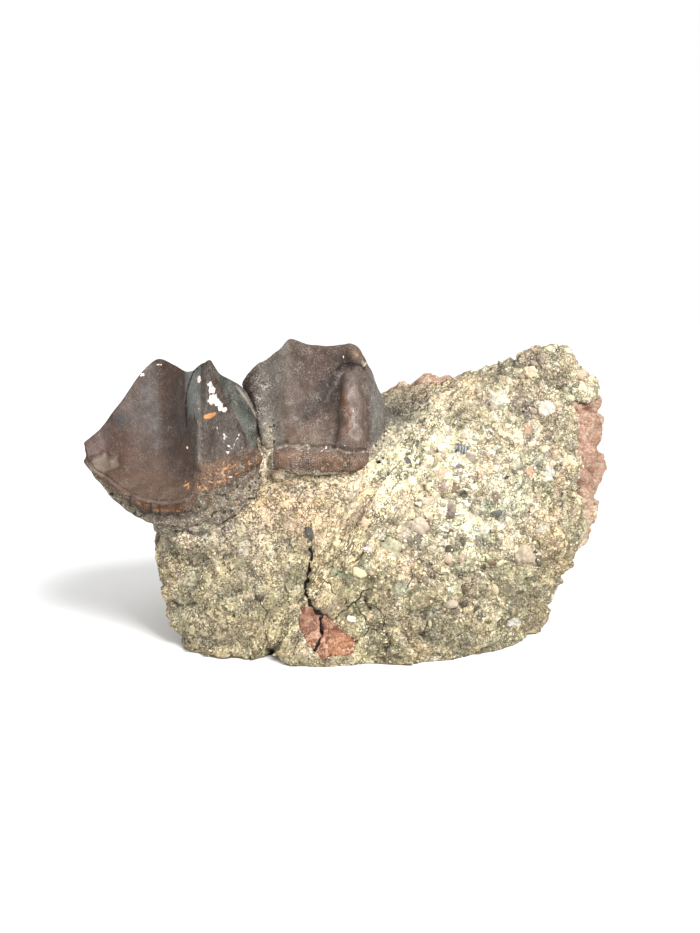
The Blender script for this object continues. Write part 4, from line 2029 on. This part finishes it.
@dataclass(frozen=True)
class Pebble:
    """One of the large pebbles in the front of the block."""

    node: str
    light: Colour
    dark: Colour
    stripe: float = 0.0
    levels: int = 2

    def build(self, groups: Groups) -> Piece:
        """The pebble's piece, dressed and riding the body.

        Args:
            groups: the shared node groups.

        Returns:
            The piece.
        """
        obj = merged_copy(self.node, f"{self.node}_worn")
        modifier = obj.modifiers.new("Worn", "SUBSURF")
        modifier.levels = self.levels
        modifier.render_levels = self.levels
        applied(obj)
        points, ways = places(obj), normals(obj)
        middle = points.mean(axis=0)
        points = middle + (points - middle) * np.array((1.06, 0.86, 1.06)) + np.array((0.0, 0.35, 0.0))
        lift = cells_at(points, 2.6, 3.0).facet * 0.9 + noise_at(points, 1.0, 3.0) * 0.12
        move_to(obj, points + ways * lift[:, None])
        finish = PebbleFinish(f"{self.node} skin", self.light, self.dark, self.stripe)
        obj.data.materials.append(finish.material(groups))
        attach(obj, BODY)
        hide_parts(self.node)
        report(obj)
        return obj


PEBBLES = (
    Pebble("pink_pebble", (0.42, 0.34, 0.24), (0.27, 0.22, 0.165)),
    Pebble("green_pebble", (0.40, 0.37, 0.24), (0.24, 0.23, 0.15)),
    Pebble("brown_pebble", (0.27, 0.205, 0.165), (0.14, 0.11, 0.09)),
    Pebble("pale_pebble", (0.50, 0.41, 0.31), (0.34, 0.28, 0.21)),
    Pebble("striped_pebble", (0.33, 0.33, 0.33), (0.035, 0.037, 0.042), 0.8),
    Pebble("quartz_pebble", (0.90, 0.88, 0.85), (0.74, 0.72, 0.68)),
    Pebble("cream_pebble", (0.58, 0.50, 0.34), (0.40, 0.34, 0.22)),
    Pebble("oval_pebble", (0.45, 0.38, 0.29), (0.36, 0.30, 0.23)),
)


# Sand packed between the teeth


@dataclass(frozen=True)
class SandFill:
    """Sand left against a tooth."""

    name: str
    middle: Point
    half: Point
    tones: Tones
    lean: float = 0.0
    detail: int = 5

    def build(self, groups: Groups) -> Piece:
        """The fill's piece, dressed and riding the body.

        Args:
            groups: the shared node groups.

        Returns:
            The piece.
        """
        bm = bmesh.new()
        bmesh.ops.create_icosphere(bm, subdivisions=self.detail, radius=1.0)
        bmesh.ops.scale(bm, verts=bm.verts, vec=Vector(self.half) * MM)
        bmesh.ops.rotate(bm, verts=bm.verts, matrix=Matrix.Rotation(self.lean, 3, "X"))
        bmesh.ops.translate(bm, verts=bm.verts, vec=Vector(self.middle) * MM)
        obj = new_object(self.name, bm)
        points, ways = places(obj), normals(obj)
        lift = noise_at(points, 4.5) * 2.2 + noise_at(points, 1.6, 5.0) * 0.9
        moved = points + ways * lift[:, None]
        move_to(obj, moved)
        write_paint(obj, "tint", self.tones.at(moved) * TINT_ROOM)
        write_masks(obj, {**dict.fromkeys(("coarse", "streak", "gap", "seam", "set"), 0.0), "split": FAR})
        finish = SandstoneFinish("Sand fill", patch_mm=2.2, stone_mm=1.1, sand_mm=0.5)
        obj.data.materials.append(finish.material(groups))
        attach(obj, BODY)
        report(obj)
        return obj


# The darker top of the sand between the teeth
SHADED_TOP = Zone((-19.8, -10.0, 57.0), (6.0, 9.0, 7.0), (0.44, 0.42, 0.41))
FILLS = (
    SandFill(
        "sand_between_teeth", middle=(-19.3, -12.9, 48.6), half=(4.8, 4.9, 11.0),
        tones=Tones((0.90, 0.82, 0.74), (SHADED_TOP,), 0.4), lean=-0.36,
    ),
    SandFill(
        "sand_under_premolar", middle=(-15.6, -15.5, 44.2), half=(4.6, 4.6, 3.0),
        tones=Tones((0.80, 0.69, 0.58), (), 0.6), lean=-0.2,
    ),
    SandFill(
        "sand_under_molar", middle=(-38.5, -23.5, 33.0), half=(9.0, 5.5, 3.4),
        tones=Tones((0.52, 0.50, 0.48), (), 0.6), lean=-0.2,
    ),
)


# The photograph's surroundings


@dataclass(frozen=True)
class Studio:
    """A pale floor, soft light and the camera."""

    aim: Point = (2.3, 0.0, 42.8)
    distance: float = 352.0
    elevation: float = 12.0
    lens: float = 50.0
    floor_half: float = 800.0
    floor_colour: Colour = (0.84, 0.84, 0.84)
    sky: float = 0.96
    key_watts: float = 16.5
    key_place: Point = (420.0, -620.0, 760.0)
    key_size: float = 420.0

    def build(self) -> None:
        """Makes the floor, the lights and the camera."""
        self.make_floor()
        self.make_sky()
        self.make_key()
        self.make_camera()

    def make_floor(self) -> None:
        """A plain floor under the block."""
        bm = bmesh.new()
        bmesh.ops.create_grid(bm, x_segments=1, y_segments=1, size=self.floor_half * MM)
        floor = new_object("floor", bm, False)
        made, _, shader = new_material("Pale floor")
        shader.inputs["Base Color"].default_value = (*self.floor_colour, 1.0)
        shader.inputs["Roughness"].default_value = 0.9
        floor.data.materials.append(made)

    def make_sky(self) -> None:
        """Even white light from all round."""
        world = bpy.data.worlds.new("Studio")
        bpy.context.scene.world = world
        world.use_nodes = True
        graph, backdrop = Graph(world.node_tree), world.node_tree.nodes["Background"]
        backdrop.inputs["Color"].default_value = (1.0, 1.0, 1.0, 1.0)
        seen = graph.node("ShaderNodeLightPath").outputs["Is Camera Ray"]
        graph.feed(backdrop.inputs["Strength"], graph.plus_times(seen, 1.0 - self.sky, self.sky))

    def make_key(self) -> None:
        """A soft light from the upper right in front."""
        light = bpy.data.lights.new("Key light", "AREA")
        light.energy = self.key_watts
        light.size = self.key_size * MM
        lamp = bpy.data.objects.new("Key light", light)
        bpy.context.scene.collection.objects.link(lamp)
        place = Vector(self.key_place) * MM
        lamp.location = place
        lamp.rotation_euler = (Vector(self.aim) * MM - place).to_track_quat("-Z", "Y").to_euler()

    def make_camera(self) -> None:
        """The camera at the photograph's viewing angle."""
        data = bpy.data.cameras.new("Camera")
        data.lens = self.lens
        data.clip_start = 0.01
        camera = bpy.data.objects.new("Camera", data)
        bpy.context.scene.collection.objects.link(camera)
        angle = math.radians(self.elevation)
        forward = Vector((0.0, math.cos(angle), -math.sin(angle)))
        camera.location = (Vector(self.aim) - forward * self.distance) * MM
        camera.rotation_euler = forward.to_track_quat("-Z", "Y").to_euler()
        bpy.context.scene.camera = camera
        bpy.context.scene.view_settings.view_transform = "Standard"


def tree_of(objects: list[Piece]) -> BVHTree:
    """The objects' shapes together, for nearest-point questions.

    Args:
        objects: objects with meshes in metres.

    Returns:
        The search tree.
    """
    bm = bmesh.new()
    for obj in objects:
        bm.from_mesh(obj.data)
    tree = BVHTree.FromBMesh(bm)
    bm.free()
    return tree


def main() -> None:
    """Builds every piece in order and reports it."""
    logging.basicConfig(level=logging.INFO, format="%(name)s: %(message)s")
    groups = build_groups()
    Studio().build()
    molar = Molar(
        "molar", "molar_crown", MOLAR_COLUMNS, middle=(-40.0, -3.0, 52.0), swell=0.5, lip=0.7, valley=2.5
    ).build(groups)
    premolar = Premolar(
        "premolar", "premolar_crown", PREMOLAR_COLUMNS, middle=(-5.0, 0.0, 55.0), swell=1.0, lip=-0.5,
        valley=2.0,
    ).build(groups)
    bed_pale = (
        Zone((66.0, 5.0, 24.0), (10.0, 20.0, 8.0), (0.75, 0.96, 0.95)),
        Zone((22.0, 24.0, 62.0), (12.0, 12.0, 10.0), (0.88, 0.92, 0.94)),
    )
    bed = Mudstone(
        "red_mudstone_bed", "red_mudstone_bed_piece", voxel=0.9, pale=bed_pale, lump_mm=6.5, roughness_mm=2.0,
        grains=BED_GRAINS, rest=(0.51, 0.485, 0.48), bumps=Bumps(0.8, 0.45), pit=(0.30, 0.15, 0.10),
    ).build(groups)
    clast_pale = (
        Zone((-7.5, -34.0, 9.5), (3.5, 8.0, 6.0), (0.56, 0.58, 0.62)),
        Zone((1.0, -34.0, 4.0), (4.0, 8.0, 4.0), (0.94, 0.82, 0.62)),
    )
    clast = Mudstone(
        "red_mudstone_clast", "red_mudstone_clast_piece", voxel=0.4, pale=clast_pale, lump_mm=5.4,
        roughness_mm=0.6, grains=RED_GRAINS, rest=(0.70, 0.75, 0.76), bumps=Bumps(0.6, 0.35),
    ).build(groups)
    pebbles = [pebble.build(groups) for pebble in PEBBLES]
    teeth = tree_of([molar, premolar])
    stone = Sandstone()
    rock = stone.build(groups, tree_of([molar, premolar, clast, *pebbles]))
    for fill in FILLS:
        fill.build(groups)
    scatter_grains(rock, bed, stone, groups, teeth)


def scatter_grains(
    rock: Piece, bed: Piece, stone: Sandstone, groups: Groups, teeth: BVHTree
) -> None:
    """Scatters the loose-looking grains and small pebbles.

    Args:
        rock: the sandstone piece.
        bed: the red mudstone bed's piece.
        stone: the sandstone's zones.
        groups: the shared node groups.
        teeth: the teeth's shapes, which hold no grains.
    """
    points = places(rock)
    open_share = blend(points[:, 2], 0.2, 0.8) * (read_mask(rock, "gap") < 0.3)
    coarse = stone.coarse_share(points)
    Grit("sand_grit", count=9400, smallest=0.4, largest=1.1, rings=1, seed=11, sunk=0.12).scatter(
        rock, open_share, groups, teeth
    )
    Grit(
        "small_pebbles", count=520, smallest=1.3, largest=3.4, rings=2, seed=12, sunk=0.03, jitter=0.13,
        flat=True, palette=PEBBLE_COLOURS,
    ).scatter(rock, open_share * (0.08 + coarse), groups, teeth)
    bed_share = blend(places(bed)[:, 2], 0.2, 0.8)
    Grit(
        "red_grit", count=700, smallest=0.6, largest=2.4, rings=2, seed=13, sunk=0.1, jitter=0.1, flat=True,
        palette=BED_GRAINS,
    ).scatter(bed, bed_share, groups)


if __name__ == "__main__":
    main()
